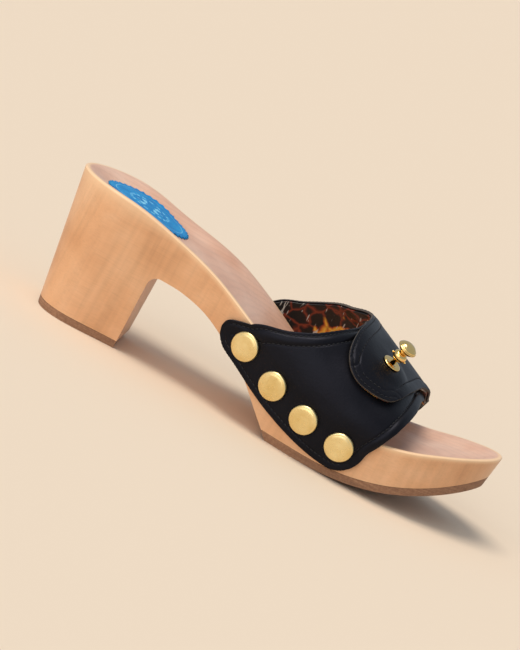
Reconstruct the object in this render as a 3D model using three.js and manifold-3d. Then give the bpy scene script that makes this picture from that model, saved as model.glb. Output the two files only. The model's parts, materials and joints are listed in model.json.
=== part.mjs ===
// A right-foot, high-heeled wooden clog slide. The sole is carved from one block of wood with its heel.
// Two leather bands are nailed to its sides with capped nails: a lateral one, and a medial one that ends in a
// tab over the instep. A quarter-turn knob on the tab locks into a keeper set in the lateral band.
// Millimetres, +X to the toe, +Y to the medial side, +Z up. Along the sole, x runs from the heel's back.
import * as THREE from "three";
import { mergeVertices } from "three/addons/utils/BufferGeometryUtils.js";
import Module from "manifold-3d";

const wasm = await Module();
wasm.setup();

// ---- driving dimensions ----

// Sole: overall length, rim heights over the ground, and widths at the rim.
const soleLength = 236;
const heelSeatHeight = 66.8;
const archRimHeight = 55.3;
const ballRimHeight = 26;
const toeRimHeight = 41;
const medialArchLift = 3;
const heelWidth = 58;
const waistWidth = 54.5;
const ballWidth = 84;
const toeRound = 46;
const toeSwing = 3;
const swingStart = 151;
const archLiftCentre = 88;
const archLiftRun = 45;

// Heel block and arch under the sole.
const heelBaseLength = 42.4;
const heelBackSlope = 11;
const heelBaseWidth = 49;
const breastWidth = 39;
const archUnderHeight = 40.3;
const breastRadius = 5;

// Tread: the forefoot rocks up along an arc past the ball.
const outsoleThickness = 3.8;
const liftThickness = 3.6;
const treadBack = 136.8;
const treadFlatEnd = 158;
const treadArcEnd = -0.18 * Math.PI;
const rockerRadius = 128;
const toeUndercut = 6;

// Footbed: a chamfer of rimDrop over rimChamfer inside the rim, then a cup.
const rimChamfer = 2;
const rimDrop = 1.6;
const footbedDepth = 3.2;
const cupRun = 14;

// Leather bands: thicknesses, and where they lie on the sole.
const leatherThickness = 1.4;
const liningThickness = 0.7;
const glueGap = 0.3;
const liningGap = 0.5;
const bandDrop = 19.5;
const bandDropGain = 1.7;
const bandBack = 94.1;
const bandFront = 181.5;
const instepHeight = 63;
const instepPeak = 148.7;
const vampSlope = 0.45;
const vampCurl = 0.0018;
const rearCorner = 7;
const frontCorner = 14;
const medialBow = 6;
const bowEnd = 52;

// Tab, and the layer of room under it for the keeper and the washer.
const tabRoom = 0.4;
const crestLine = 66;
const tabReach = 44;
const tabSetBack = 54.2;
const tabFrontCut = 4.8;
const tabOpening = 60;
const overlap = 10;
const climbRun = 14;

// Capped nails along each side.
const nailCount = 4;
const nailDrop = 9;
const firstNail = 14.9;
const lastNail = 12.3;
const capRadius = 6.75;
const capHeight = 2.1;
const capWall = 0.7;
const capLip = 1.3;
const nailRadius = 1;
const nailGrip = 11;
const nailHeadHeight = 0.7;
const nailHeadRadius = 3.2;

// Turn knob and its keeper. The lock stands back from the tab's back edge and up from its tip.
const lockAlong = 20.3;
const lockUp = 27.5;
const lockLean = 0.12;
const knobRadius = 5;
const ballRadius = 3.5;
const stemRadius = 1.1;
const stemHeight = 2.3;
const neckWall = 0.9;
const neckClearance = 0.25;
const rosetteRadius = 4.8;
const rosetteThickness = 1;
const barLength = 6.4;
const barWidth = 1.8;
const barThickness = 0.9;
const keeperRadius = 6.6;
const keeperWall = 0.7;
const keeperFloor = -1.2;
const washerThickness = 0.6;
const washerWidth = 1.4;
const pinRadius = 0.45;
const pinBall = 0.8;
const runningGap = 0.5;

// Heel label.
const labelLength = 45.5;
const labelWidth = 37;
const labelThickness = 0.9;
const labelSeat = 0.5;
const labelCentre = 35.8;
const labelTeeth = 38;

// Nails of the heel lift.
const liftNailSink = 0.8;
const liftNailLength = 16;
const liftNailRadius = 0.9;
const liftNailHead = 2;
const liftNailHeadHeight = 0.8;
const liftNailPoint = 2;
const liftNailFit = 0.25;

// ---- materials ----

const material = (color, roughness, metalness = 0) =>
  new THREE.MeshStandardMaterial({ color, roughness, metalness });
const wood = material(0xd9a273, 0.55);
const tanRubber = material(0x9b6b4a, 0.8);
const blackLeather = material(0x1d1e24, 0.45);
const printedLining = material(0x4a2315, 0.6);
const blueLeather = material(0x0b7cc4, 0.6);
const brass = material(0xe3c878, 0.3, 1);
const steel = material(0x9a9a9a, 0.4, 1);

// ---- helpers ----

const clamp = (v, low, high) => Math.min(high, Math.max(low, v));
const mix = (a, b, t) => a + (b - a) * t;
const smooth = (t) => {
  const c = clamp(t, 0, 1);
  return c * c * (3 - 2 * c);
};

// A smooth curve through [x, value] stations: cubic pieces, each station's slope that of its neighbours.
function curveThrough(stations) {
  const n = stations.length;
  const slope = stations.map((_, i) => {
    const a = stations[Math.max(i - 1, 0)];
    const b = stations[Math.min(i + 1, n - 1)];
    return (b[1] - a[1]) / (b[0] - a[0]);
  });
  return (x) => {
    let i = 0;
    while (i < n - 2 && x > stations[i + 1][0]) i += 1;
    const [x0, y0] = stations[i];
    const [x1, y1] = stations[i + 1];
    const h = x1 - x0;
    const t = clamp((x - x0) / h, 0, 1);
    const a = y0 * (1 + 2 * t) + slope[i] * h * t;
    const b = y1 * (3 - 2 * t) - slope[i + 1] * h * (1 - t);
    return a * (1 - t) ** 2 + b * t ** 2;
  };
}

// The same, with the stations' x given as shares of the sole's length.
const alongSole = (stations) => curveThrough(stations.map(([share, v]) => [share * soleLength, v]));

function toSolid(geometry) {
  const bare = new THREE.BufferGeometry();
  bare.setAttribute("position", geometry.getAttribute("position"));
  if (geometry.index) bare.setIndex(geometry.index);
  const merged = mergeVertices(bare, 1e-4);
  const mesh = new wasm.Mesh({
    numProp: 3,
    vertProperties: new Float32Array(merged.attributes.position.array),
    triVerts: new Uint32Array(merged.index.array),
  });
  return new wasm.Manifold(mesh);
}

function toGeometry(solid) {
  const mesh = solid.getMesh();
  const geometry = new THREE.BufferGeometry();
  const positions = new Float32Array(mesh.vertProperties);
  geometry.setAttribute("position", new THREE.BufferAttribute(positions, 3));
  geometry.setIndex(new THREE.BufferAttribute(new Uint32Array(mesh.triVerts), 1));
  geometry.computeVertexNormals();
  return geometry;
}

const cut = (solid, cutters) => cutters.reduce((left, c) => left.subtract(c), solid);

function geometryFrom(points, faces) {
  const geometry = new THREE.BufferGeometry();
  geometry.setAttribute("position", new THREE.Float32BufferAttribute(points.flat(), 3));
  geometry.setIndex(faces.flat());
  return geometry;
}

// A closed body from rings of points, each a loop out along the lateral side and back along the medial one.
// The first and last ring are closed by strips from side to side.
function ringBody(rings) {
  const n = rings[0].length;
  const at = (ring, i) => ring * n + (i % n);
  const faces = [];
  for (let r = 0; r + 1 < rings.length; r += 1)
    for (let i = 0; i < n; i += 1) {
      faces.push([at(r, i), at(r, i + 1), at(r + 1, i + 1)]);
      faces.push([at(r, i), at(r + 1, i + 1), at(r + 1, i)]);
    }
  const last = rings.length - 1;
  for (let i = 0; i < n / 2; i += 1) {
    const [a, b, c, d] = [i, i + 1, n - i - 1, n - i];
    if (b !== c) faces.push([at(0, b), at(0, a), at(0, c)], [at(last, a), at(last, b), at(last, c)]);
    if (a !== d % n) faces.push([at(0, c), at(0, a), at(0, d)], [at(last, a), at(last, c), at(last, d)]);
  }
  return geometryFrom(rings.flat(), faces);
}

// A closed sheet from two grids of points with the same rows and columns: its inner and its outer face.
function sheetBody(inner, outer) {
  const rows = inner.length;
  const columns = inner[0].length;
  const at = (side, r, c) => (side * rows + r) * columns + c;
  const faces = [];
  const quad = (a, b, c, d) => faces.push([a, b, c], [a, c, d]);
  for (let r = 0; r + 1 < rows; r += 1)
    for (let c = 0; c + 1 < columns; c += 1) {
      quad(at(1, r, c), at(1, r, c + 1), at(1, r + 1, c + 1), at(1, r + 1, c));
      quad(at(0, r, c), at(0, r + 1, c), at(0, r + 1, c + 1), at(0, r, c + 1));
    }
  for (let c = 0; c + 1 < columns; c += 1) {
    quad(at(0, 0, c), at(0, 0, c + 1), at(1, 0, c + 1), at(1, 0, c));
    quad(at(1, rows - 1, c), at(1, rows - 1, c + 1), at(0, rows - 1, c + 1), at(0, rows - 1, c));
  }
  for (let r = 0; r + 1 < rows; r += 1) {
    quad(at(1, r, 0), at(1, r + 1, 0), at(0, r + 1, 0), at(0, r, 0));
    const end = columns - 1;
    quad(at(0, r, end), at(0, r + 1, end), at(1, r + 1, end), at(1, r, end));
  }
  return geometryFrom([...inner.flat(), ...outer.flat()], faces);
}

// A round piece from a profile of [radius, height] points, which ends on the axis or closes on itself.
function turned(profile, segments) {
  const lathe = new THREE.LatheGeometry(profile.map(([r, h]) => new THREE.Vector2(r, h)), segments);
  return lathe.rotateX(Math.PI / 2);
}

function namedMesh(name, geometry, look) {
  const mesh = new THREE.Mesh(geometry, look);
  mesh.name = name;
  return mesh;
}

// ---- the sole's outline and heights ----

const toeStart = soleLength - toeRound;
const [heel, waist, ball] = [heelWidth / 2, waistWidth / 2, ballWidth / 2];
const [heelBase, breast] = [heelBaseWidth / 2, breastWidth / 2];

// Half widths at the rim and at the ground, before the ends are rounded. Lateral is -1, medial is +1.
const lateralRim = alongSole([
  [0, heel - 2], [0.12, heel], [0.21, heel], [0.32, waist + 1.75], [0.42, waist + 5.5], [0.53, ball - 3.5],
  [0.64, ball + 0.5], [0.72, ball + 1.5], [0.8, ball], [0.87, ball - 3], [1, ball - 9],
]);
const medialRim = alongSole([
  [0, heel - 2], [0.12, heel], [0.21, heel - 1.5], [0.32, waist - 1.75], [0.4, waist], [0.51, ball - 8.5],
  [0.62, ball - 3.5], [0.7, ball - 1.5], [0.79, ball - 1], [0.87, ball - 2.5], [1, ball - 6],
]);
const groundHalf = alongSole([
  [0, heelBase - 2], [0.12, heelBase], [0.225, breast], [0.32, breast], [0.42, breast + 5],
  [0.53, ball - 10], [0.64, ball - 4.5], [0.72, ball - 3.5], [0.8, ball - 4.5], [1, ball - 11],
]);

const rimCurve = alongSole([
  [0, heelSeatHeight], [0.13, heelSeatHeight - 0.4], [0.235, mix(archRimHeight, heelSeatHeight, 0.57)],
  [0.34, archRimHeight], [0.445, mix(ballRimHeight, archRimHeight, 0.67)],
  [0.55, mix(ballRimHeight, archRimHeight, 0.295)], [0.655, ballRimHeight + 1.6], [0.74, ballRimHeight],
  [0.83, mix(ballRimHeight, toeRimHeight, 0.19)], [0.91, mix(ballRimHeight, toeRimHeight, 0.56)],
  [1, toeRimHeight],
]);

function rimHeight(x, side) {
  const near = clamp(Math.abs(x - archLiftCentre) / archLiftRun, 0, 1);
  const lift = side > 0 ? medialArchLift * Math.cos((near * Math.PI) / 2) ** 2 : 0;
  return rimCurve(x) + lift;
}

// How far a station is into the rounded heel and into the rounded toe, 0 to 1 each.
const ends = (x) => [clamp(1 - x / heel, 0, 1), clamp((x - toeStart) / toeRound, 0, 1)];

function endRounding(x) {
  const [back, front] = ends(x);
  return Math.sqrt(1 - back ** 2) * Math.sqrt(1 - front ** 2);
}

const centreLine = (x) => toeSwing * clamp((x - swingStart) / (soleLength - swingStart), 0, 1) ** 2;

// The side wall: the point of column x on one side at height z. It leans in towards the ground.
function wallPoint(x, side, z) {
  const low = clamp(1 - z / rimHeight(x, side), -0.1, 1.1);
  const round = endRounding(x);
  const rim = (side < 0 ? lateralRim(x) : medialRim(x)) * round;
  const ground = groundHalf(x) * round;
  const [back, front] = ends(x);
  const shift = heelBackSlope * back ** 2 - toeUndercut * front ** 2;
  return [x + shift * low, centreLine(x) + side * mix(rim, ground, low), z];
}

// One loop round the sole: [x, side] columns, closer together at the ends.
const columnCount = 32;
const columns = [];
for (let i = 0; i < 2 * columnCount; i += 1) {
  const x = (soleLength / 2) * (1 - Math.cos((Math.PI * i) / columnCount));
  columns.push([x, i <= columnCount ? -1 : 1]);
}

// The footbed's height at a distance in from the rim.
function footbedHeight(x, side, inset) {
  const cup = footbedDepth * smooth((inset - rimChamfer) / (cupRun - rimChamfer));
  const chamfer = rimDrop * Math.max(0, 1 - inset / rimChamfer);
  return rimHeight(x, side) - cup - chamfer;
}

// A ring on the footbed, moved in from the rim towards the middle of the sole.
function footbedRing(inset) {
  return columns.map(([x, side]) => {
    const [rx, ry] = wallPoint(x, side, rimHeight(x, side));
    const spineX = clamp(x, heel, toeStart);
    const away = Math.hypot(rx - spineX, ry - centreLine(spineX));
    const share = Math.min(inset, away) / Math.max(away, 1e-6);
    const [px, py] = [mix(rx, spineX, share), mix(ry, centreLine(spineX), share)];
    return [px, py, footbedHeight(px, side, inset)];
  });
}

// The height of the heel seat at a point. Between the cupped edges it runs straight across, and behind the
// spine its edge is taken as a circle, a little inside the real one.
const heelSeatEase = 0.8;
function heelSeat(x, y) {
  const side = y < 0 ? -1 : 1;
  const rim = x < heel ? heel - heelSeatEase : Math.abs(wallPoint(x, side, rimHeight(x, side))[1]);
  const inset = rim - Math.hypot(x - Math.max(x, heel), y);
  const across = clamp(0.5 + y / (2 * (rim - cupRun)), 0, 1);
  return mix(footbedHeight(x, -1, inset), footbedHeight(x, 1, inset), across);
}

// The whole sole before its underside is carved: wood, outsole and lift are all cut from it.
function soleBlank() {
  const below = -2;
  const walls = [0, 0.25, 0.5, 0.75].map((share) =>
    columns.map(([x, side]) => wallPoint(x, side, mix(below, footbedHeight(x, side, 0), share))));
  const insets = [0, rimChamfer, 5, 9, cupRun];
  return toSolid(ringBody([...walls, ...insets.map(footbedRing)]));
}

// A solid from an outline drawn in the side view, x to the toe and z up, right across the sole.
function acrossSole(shape) {
  const reach = ballWidth;
  const slab = new THREE.ExtrudeGeometry(shape, { depth: 2 * reach, bevelEnabled: false, curveSegments: 10 });
  return toSolid(slab.rotateX(Math.PI / 2).translate(0, reach, 0));
}

const breastX = heelBackSlope + heelBaseLength;
const breastTop = archUnderHeight - breastRadius;
const clear = 10;

// The arch under the sole, from the top of the heel's front face down to the back of the outsole, as shares
// of the run and of the drop.
const archUnder = [
  [0.02, 0], [0.15, 0.011], [0.35, 0.099], [0.55, 0.29], [0.74, 0.526], [0.87, 0.762], [1, 1],
].map(([along, down]) => {
  const run = treadBack - outsoleThickness - breastX - breastRadius;
  return new THREE.Vector2(
    breastX + breastRadius + along * run, mix(archUnderHeight, outsoleThickness, down));
});

function woodProfile() {
  const shape = new THREE.Shape();
  shape.moveTo(-clear, liftThickness);
  shape.lineTo(breastX, liftThickness);
  shape.lineTo(breastX, breastTop);
  shape.quadraticCurveTo(breastX, archUnderHeight, archUnder[0].x, archUnder[0].y);
  shape.splineThru(archUnder.slice(1));
  shape.lineTo(treadFlatEnd, outsoleThickness);
  shape.absarc(treadFlatEnd, rockerRadius, rockerRadius - outsoleThickness, -Math.PI / 2, treadArcEnd, false);
  shape.lineTo(soleLength + clear, heelSeatHeight + clear);
  shape.lineTo(-clear, heelSeatHeight + clear);
  return shape;
}

function outsoleProfile() {
  const top = outsoleThickness - glueGap;
  const shape = new THREE.Shape();
  shape.moveTo(treadBack, 0);
  shape.lineTo(treadFlatEnd, 0);
  shape.absarc(treadFlatEnd, rockerRadius, rockerRadius, -Math.PI / 2, treadArcEnd, false);
  shape.absarc(treadFlatEnd, rockerRadius, rockerRadius - top, treadArcEnd, -Math.PI / 2, true);
  shape.lineTo(treadBack - top, top);
  return shape;
}

function liftProfile() {
  const shape = new THREE.Shape();
  shape.moveTo(-clear, 0);
  shape.lineTo(breastX, 0);
  shape.lineTo(breastX, liftThickness - glueGap);
  shape.lineTo(-clear, liftThickness - glueGap);
  return shape;
}

// ---- the foot form that the bands are drawn over ----

// Across, the form is a superellipse. Along, its crest falls to the toe, faster and faster.
const archPower = 2 / 2.5;

function crestHeight(x) {
  const past = x - instepPeak;
  return instepHeight - vampSlope * (past + vampCurl * Math.max(0, past) ** 2);
}

// A point on the form. q is the way round it in millimetres from the rim of one side: below 0 it lies on the
// wooden wall, and at crestLine it is on the crest of the instep.
function formPoint(x, side, q) {
  const rim = rimHeight(x, side);
  if (q < 0) return wallPoint(x, side, rim + q);
  const angle = ((q / crestLine) * Math.PI) / 2;
  const here = Math.cos(angle) >= 0 ? side : -side;
  const foot = rimHeight(x, here);
  const half = here < 0 ? lateralRim(x) : medialRim(x);
  const y = here * half * endRounding(x) * Math.abs(Math.cos(angle)) ** archPower;
  return [x, centreLine(x) + y, foot + (crestHeight(x) - foot) * Math.sin(angle) ** archPower];
}

const onForm = (x, side, q) => new THREE.Vector3(...formPoint(x, side, q));

function formNormal(x, side, q) {
  const step = 0.5;
  const along = onForm(x + step, side, q).sub(onForm(x - step, side, q));
  const round = onForm(x, side, q + step).sub(onForm(x, side, q - step));
  return round.cross(along).normalize().multiplyScalar(side);
}

function offForm(x, side, q, distance) {
  return onForm(x, side, q).addScaledVector(formNormal(x, side, q), distance);
}

// ---- the bands' cut shapes, in [x, q] on the form ----

// Where the back and front edges of the vamp run as they go round the form.
const backCorner = rearCorner - bandDrop;
const bandRear = curveThrough([
  [-bandDrop, bandBack], [backCorner, bandBack], [backCorner + 5, bandBack + 2], [2, bandBack + 15],
  [12.6, bandBack + 29.3], [27, bandBack + 42], [50, bandBack + 52.6], [crestLine, bandBack + 54.8],
]);
const bandFore = curveThrough([
  [-bandDrop, bandFront], [backCorner + 5, bandFront + 0.3], [0.3, bandFront + 4.4], [8.7, bandFront + 7],
  [15, bandFront + 8.1], [33, bandFront + 9.3], [51, bandFront + 9.2], [crestLine, bandFront + 7.8],
]);

// Past the crest both edges mirror. The medial band's back edge is cut further back over the foot's arch.
const mirrored = (q) => Math.min(q, 2 * crestLine - q);

function rearEdge(side, q) {
  const up = mirrored(q);
  const bow = side > 0 ? medialBow * Math.sin(Math.PI * clamp(up / bowEnd, 0, 1)) : 0;
  return bandRear(up) - bow;
}

// The medial band's front edge is cut back by tabFrontCut on its way up to the tab.
function foreEdge(side, q) {
  const up = mirrored(q);
  return bandFore(up) - (side > 0 ? tabFrontCut * smooth(2 * (up / crestLine) - 1) : 0);
}

// The nailed edge: along the wall at bandDrop, with both corners rounded up to the back and front edges.
function nailedEdge(a) {
  const [back, front] = [0.14, 0.2];
  const r = a < 0.5 ? rearCorner : frontCorner;
  const turn = clamp(a < 0.5 ? a / back : (1 - a) / front, 0, 1) * (Math.PI / 2);
  const run = r * (1 - Math.cos(turn));
  const along = (a - back) / (1 - back - front);
  let x = mix(bandBack + rearCorner, bandFront - frontCorner, along);
  if (a < back) x = bandBack + run;
  if (a > 1 - front) x = bandFront - run;
  const gain = (bandDropGain * (x - bandBack)) / (bandFront - bandBack);
  return [x, r * (1 - Math.sin(turn)) - bandDrop - gain];
}

// A band from its nailed edge up to a line at q = top, with one row of points right on the rim.
function bandPatch(side, top, rowsBelow, rowsAbove, across) {
  const grid = [];
  const steps = Array.from({ length: across + 1 }, (_, c) => c / across);
  for (let r = 0; r <= rowsBelow + rowsAbove; r += 1)
    grid.push(steps.map((a) => {
      const [lowX, low] = nailedEdge(a);
      const t = clamp(r / rowsBelow, 0, 1);
      const q = r < rowsBelow ? mix(low, 0, t) : (top * (r - rowsBelow)) / rowsAbove;
      const off = lowX - mix(rearEdge(side, low), foreEdge(side, low), a);
      return [mix(rearEdge(side, q), foreEdge(side, q), a) + off * (1 - t), q];
    }));
  return grid;
}

// The tab's rounded end, from its back edge to its front edge, in shares of the way across.
const tabBack = bandBack + tabSetBack;
const tabTip = crestLine - tabReach;
const tabX = curveThrough([
  [0, tabBack], [0.08, tabBack + 0.8], [0.18, tabBack + 2.4], [0.28, tabBack + 5.1], [0.38, tabBack + 8.9],
  [0.5, tabBack + 14], [0.62, tabBack + 20.5], [0.73, tabBack + 26.4], [0.83, tabBack + 30.4],
  [0.92, tabBack + 33], [1, tabBack + 34.6],
]);
const tabQ = curveThrough([
  [0, tabTip + 25], [0.08, tabTip + 15.5], [0.18, tabTip + 8.9], [0.28, tabTip + 4.4], [0.38, tabTip + 1.4],
  [0.5, tabTip], [0.62, tabTip + 0.9], [0.73, tabTip + 3], [0.83, tabTip + 6.8], [0.92, tabTip + 16],
  [1, tabTip + 30],
]);

function tabPatch(rows, across) {
  const top = crestLine - runningGap / 2;
  const grid = [];
  for (let r = 0; r <= rows; r += 1)
    grid.push(Array.from({ length: across + 1 }, (_, c) => {
      const [a, b] = [c / across, r / rows];
      const topX = mix(rearEdge(1, top), foreEdge(1, top), a);
      return [mix(tabX(a), topX, b), mix(tabQ(a), top, b)];
    }));
  return grid;
}

// Height of each layer off the form: the lining first, then the leather over it.
const leatherBottom = liningGap + liningThickness + glueGap;
const layer = {
  lining: [liningGap, liningGap + liningThickness],
  leather: [leatherBottom, leatherBottom + leatherThickness],
};
const tabBase = layer.leather[1] + tabRoom;
const lateralEnd = crestLine + overlap;

// The medial band climbs over the end of the lateral band, and is up climbSpare before it gets there.
const climbSpare = 4;
const climbStart = 2 * crestLine - lateralEnd - climbRun - climbSpare;
const climb = (q) => tabBase * smooth((q - climbStart) / climbRun);

// The fold line of the tab: straight, along the crest, at the underside of the tab's lining.
const foldEnds = [rearEdge(1, crestLine), foreEdge(1, crestLine)].map((x) =>
  offForm(x, -1, crestLine, tabBase + layer.lining[0]));
const foldAxis = foldEnds[1].clone().sub(foldEnds[0]).normalize();

// A wedge along the fold line that is left out of both sheets, so that they don't meet when the tab opens.
function foldGroove() {
  const spareAngle = 4;
  const halfAngle = THREE.MathUtils.degToRad(tabOpening / 2 + spareAngle);
  const [depth, over] = [8, 10];
  const wedge = new THREE.Shape();
  wedge.moveTo(0, -runningGap);
  wedge.lineTo(depth * Math.tan(halfAngle), depth - runningGap);
  wedge.lineTo(-depth * Math.tan(halfAngle), depth - runningGap);
  const length = foldEnds[0].distanceTo(foldEnds[1]) + 2 * over;
  const prism = new THREE.ExtrudeGeometry(wedge, { depth: length, bevelEnabled: false });
  const across = new THREE.Vector3(0, 1, 0);
  const up = new THREE.Vector3().crossVectors(foldAxis, across);
  const frame = new THREE.Matrix4().makeBasis(across, up, foldAxis);
  frame.setPosition(foldEnds[0].clone().addScaledVector(foldAxis, -over));
  return toSolid(prism.applyMatrix4(frame));
}

function bandSheet(grid, side, [inner, outer], base) {
  const place = (height) => ([x, q]) => offForm(x, side, q, height + base(q)).toArray();
  const face = (height) => grid.map((row) => row.map(place(height)));
  const [a, b] = [face(inner), face(outer)];
  return toSolid(side < 0 ? sheetBody(a, b) : sheetBody(b, a));
}

// ---- capped nails ----

// Nails stand on the wall, nailDrop under the rim, evenly spaced between the corners of the band.
function nailFrame(side, index) {
  const x = mix(bandBack + firstNail, bandFront - lastNail, index / (nailCount - 1));
  const frame = new THREE.Group();
  frame.position.copy(onForm(x, side, -nailDrop));
  frame.quaternion.setFromUnitVectors(new THREE.Vector3(0, 0, 1), formNormal(x, side, -nailDrop));
  frame.updateMatrix();
  frame.userData.seat = Math.max(capSeat, leatherUnderCap(frame, x, side) + capGap);
  return frame;
}

// A cap stands clear of the leather under it, wherever the wall is hollow and the leather rises to its edge.
const capSeat = layer.leather[1] + glueGap + 0.1;
const capGap = 0.24;
const capMargin = 2;
const capBevel = 1.1;
const capSide = 1.2;

function leatherUnderCap(frame, x, side) {
  const intoFrame = frame.matrix.clone().invert();
  const reach = capRadius + capMargin;
  const steps = 24;
  const heights = Array.from({ length: steps }, (_, i) => {
    const a = (2 * Math.PI * i) / steps;
    const spot = [x + reach * Math.cos(a), side, reach * Math.sin(a) - nailDrop];
    return offForm(...spot, layer.leather[1]).applyMatrix4(intoFrame).z;
  });
  return Math.max(...heights);
}

function capGeometry(seat) {
  const [r, h] = [capRadius, seat + capHeight];
  const inside = r - capLip;
  return turned([
    [0, h - capWall], [inside, h - capWall], [inside, seat], [r, seat], [r, seat + capSide],
    [r - capBevel, h], [0, h],
  ], 16);
}

const nailPoint = 2.2;
function nailGeometry(seat) {
  const head = seat + glueGap;
  return turned([
    [0, -nailGrip], [nailRadius, nailPoint - nailGrip], [nailRadius, head], [nailHeadRadius, head],
    [nailHeadRadius, head + nailHeadHeight], [0, head + nailHeadHeight],
  ], 10);
}

function nailHole(frame) {
  const radius = nailRadius + glueGap;
  const [low, high] = [-nailGrip - 2 * glueGap, frame.userData.seat + 1];
  const hole = new THREE.CylinderGeometry(radius, radius, high - low, 12);
  hole.rotateX(Math.PI / 2).translate(0, 0, (low + high) / 2);
  return toSolid(hole.applyMatrix4(frame.matrix));
}

const sides = [["lateral", -1], ["medial", 1]];
const nailFrames = sides.flatMap(([word, side]) =>
  Array.from({ length: nailCount }, (_, i) => ({ word, side, number: i + 1, frame: nailFrame(side, i) })));
const nailHoles = (side) => nailFrames.filter((n) => n.side === side).map((n) => nailHole(n.frame));

// ---- the turn lock ----

// Its frame stands on the form under the tab, with z along the stem and x to the toe.
const lockX = tabBack + lockAlong;
const lockQ = tabTip + lockUp;
const lockFrame = new THREE.Group();
{
  const z = formNormal(lockX, -1, lockQ).add(new THREE.Vector3(-lockLean, 0, 0)).normalize();
  const x = new THREE.Vector3(1, 0, 0).addScaledVector(z, -z.x).normalize();
  const basis = new THREE.Matrix4().makeBasis(x, new THREE.Vector3().crossVectors(z, x), z);
  lockFrame.quaternion.setFromRotationMatrix(basis);
  lockFrame.position.copy(onForm(lockX, -1, lockQ));
  lockFrame.updateMatrix();
}

const tabLayer = (name) => layer[name].map((h) => h + tabBase);
const tabTop = tabLayer("leather")[1];
const rosetteSeat = tabTop + glueGap + lockLean * rosetteRadius;
const rosetteTop = rosetteSeat + rosetteThickness;
const neckRadius = stemRadius + neckWall;
const boreRadius = stemRadius + glueGap;

function rosetteGeometry() {
  const bottom = washerTop - washerThickness;
  const r = rosetteRadius;
  return turned([
    [boreRadius, bottom], [neckRadius, bottom], [neckRadius, rosetteSeat], [r - 0.3, rosetteSeat],
    [r, rosetteSeat + 0.35], [r - 0.6, rosetteTop - 0.15], [r - 1.6, rosetteTop], [boreRadius, rosetteTop],
    [boreRadius, bottom],
  ], 28);
}

const washerRadius = neckRadius + washerWidth;
const washerDrop = 0.8;
const washerTop = tabLayer("leather")[0] - washerDrop;
function washerGeometry() {
  const [bottom, top] = [washerTop - washerThickness, washerTop];
  const bore = neckRadius + 0.2;
  const edge = washerRadius;
  return turned([[bore, bottom], [edge, bottom], [edge, top], [bore, top], [bore, bottom]], 24);
}

// The keeper: a cup whose top plate is let into the lateral leather, with a slot for the locking bar.
const keeperTop = layer.leather[1] - keeperWall;
const cupRadius = barLength / 2 + 2 * keeperWall;
const barLow = keeperFloor + keeperWall + runningGap;

function keeperGeometry() {
  const under = layer.leather[0];
  const shell = toSolid(turned([
    [0, keeperFloor], [cupRadius, keeperFloor], [cupRadius, under], [keeperRadius, under],
    [keeperRadius, keeperTop], [0, keeperTop],
  ], 28));
  const inside = cupRadius - keeperWall;
  const [low, high] = [keeperFloor + keeperWall, keeperTop - keeperWall];
  const room = new THREE.CylinderGeometry(inside, inside, high - low, 28);
  room.rotateX(Math.PI / 2).translate(0, 0, (low + high) / 2);
  const slot = new THREE.BoxGeometry(barLength + 2 * runningGap, barWidth + 2 * runningGap, 3 * keeperWall);
  slot.translate(0, 0, keeperTop);
  return toGeometry(cut(shell, [toSolid(room), toSolid(slot)]));
}

function keeperRingGeometry() {
  const [bottom, top] = [-0.3, 0.25];
  const bore = cupRadius + 0.2;
  const edge = bore + washerWidth;
  return turned([[bore, bottom], [edge, bottom], [edge, top], [bore, top], [bore, bottom]], 24);
}

// The turned knob: a spindle with a shoulder for the bar, a ball, and a wide cap on top.
const tipRadius = 0.7;
const shoulder = barLow + barThickness + 0.15;
const ballHalf = 2.4;
const waistHeight = 0.7;
const ballCentre = rosetteTop + stemHeight + ballHalf;
const knobFoot = ballCentre + ballHalf + waistHeight;

function arcPoints(centreHeight, radius, halfHeight, from, to, steps) {
  return Array.from({ length: steps + 1 }, (_, i) => {
    const a = mix(from, to, i / steps);
    return [radius * Math.cos(a), centreHeight + halfHeight * Math.sin(a)];
  });
}

function knobGeometry() {
  const low = -Math.PI / 2 + 0.35;
  const cap = knobFoot + 2.5;
  const tip = barLow - 0.3;
  const solid = toSolid(turned([
    [0, tip], [tipRadius, tip], [tipRadius, shoulder], [stemRadius, shoulder], [stemRadius, ballCentre - 2.5],
    ...arcPoints(ballCentre, ballRadius, ballHalf, low, -low, 6), [stemRadius + 0.3, knobFoot - 0.3],
    ...arcPoints(cap, knobRadius, 2.6, low, 0, 3), [knobRadius - 0.35, cap + 0.25],
    ...arcPoints(cap + 0.3, knobRadius - 0.3, 2.3, 0.1, Math.PI / 2 - 0.2, 3), [0, cap + 2.6],
  ], 20));
  const bore = pinRadius + 0.15;
  const drill = new THREE.CylinderGeometry(bore, bore, 4 * ballRadius, 10);
  return toGeometry(cut(solid, [toSolid(drill.rotateZ(Math.PI / 2).translate(0, 0, pinHeight))]));
}

// The cross pin that shows which way the bar lies, with a small ball at each end.
const pinHeight = ballCentre - 0.7;

function pinGeometry() {
  const reach = ballRadius + 0.75;
  const balls = [-1, 1].map((end) =>
    toSolid(new THREE.SphereGeometry(pinBall, 8, 6).translate(end * reach, 0, pinHeight)));
  const rod = new THREE.CylinderGeometry(pinRadius, pinRadius, 2 * reach, 8);
  rod.rotateZ(Math.PI / 2).translate(0, 0, pinHeight);
  return toGeometry(toSolid(rod).add(balls[0]).add(balls[1]));
}

function barGeometry() {
  const bar = new THREE.BoxGeometry(barLength, barWidth, barThickness);
  bar.translate(0, 0, barLow + barThickness / 2);
  const hole = new THREE.CylinderGeometry(tipRadius + 0.1, tipRadius + 0.1, 3 * barThickness, 12);
  return toGeometry(cut(toSolid(bar), [toSolid(hole.rotateX(Math.PI / 2).translate(0, 0, barLow))]));
}

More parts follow.
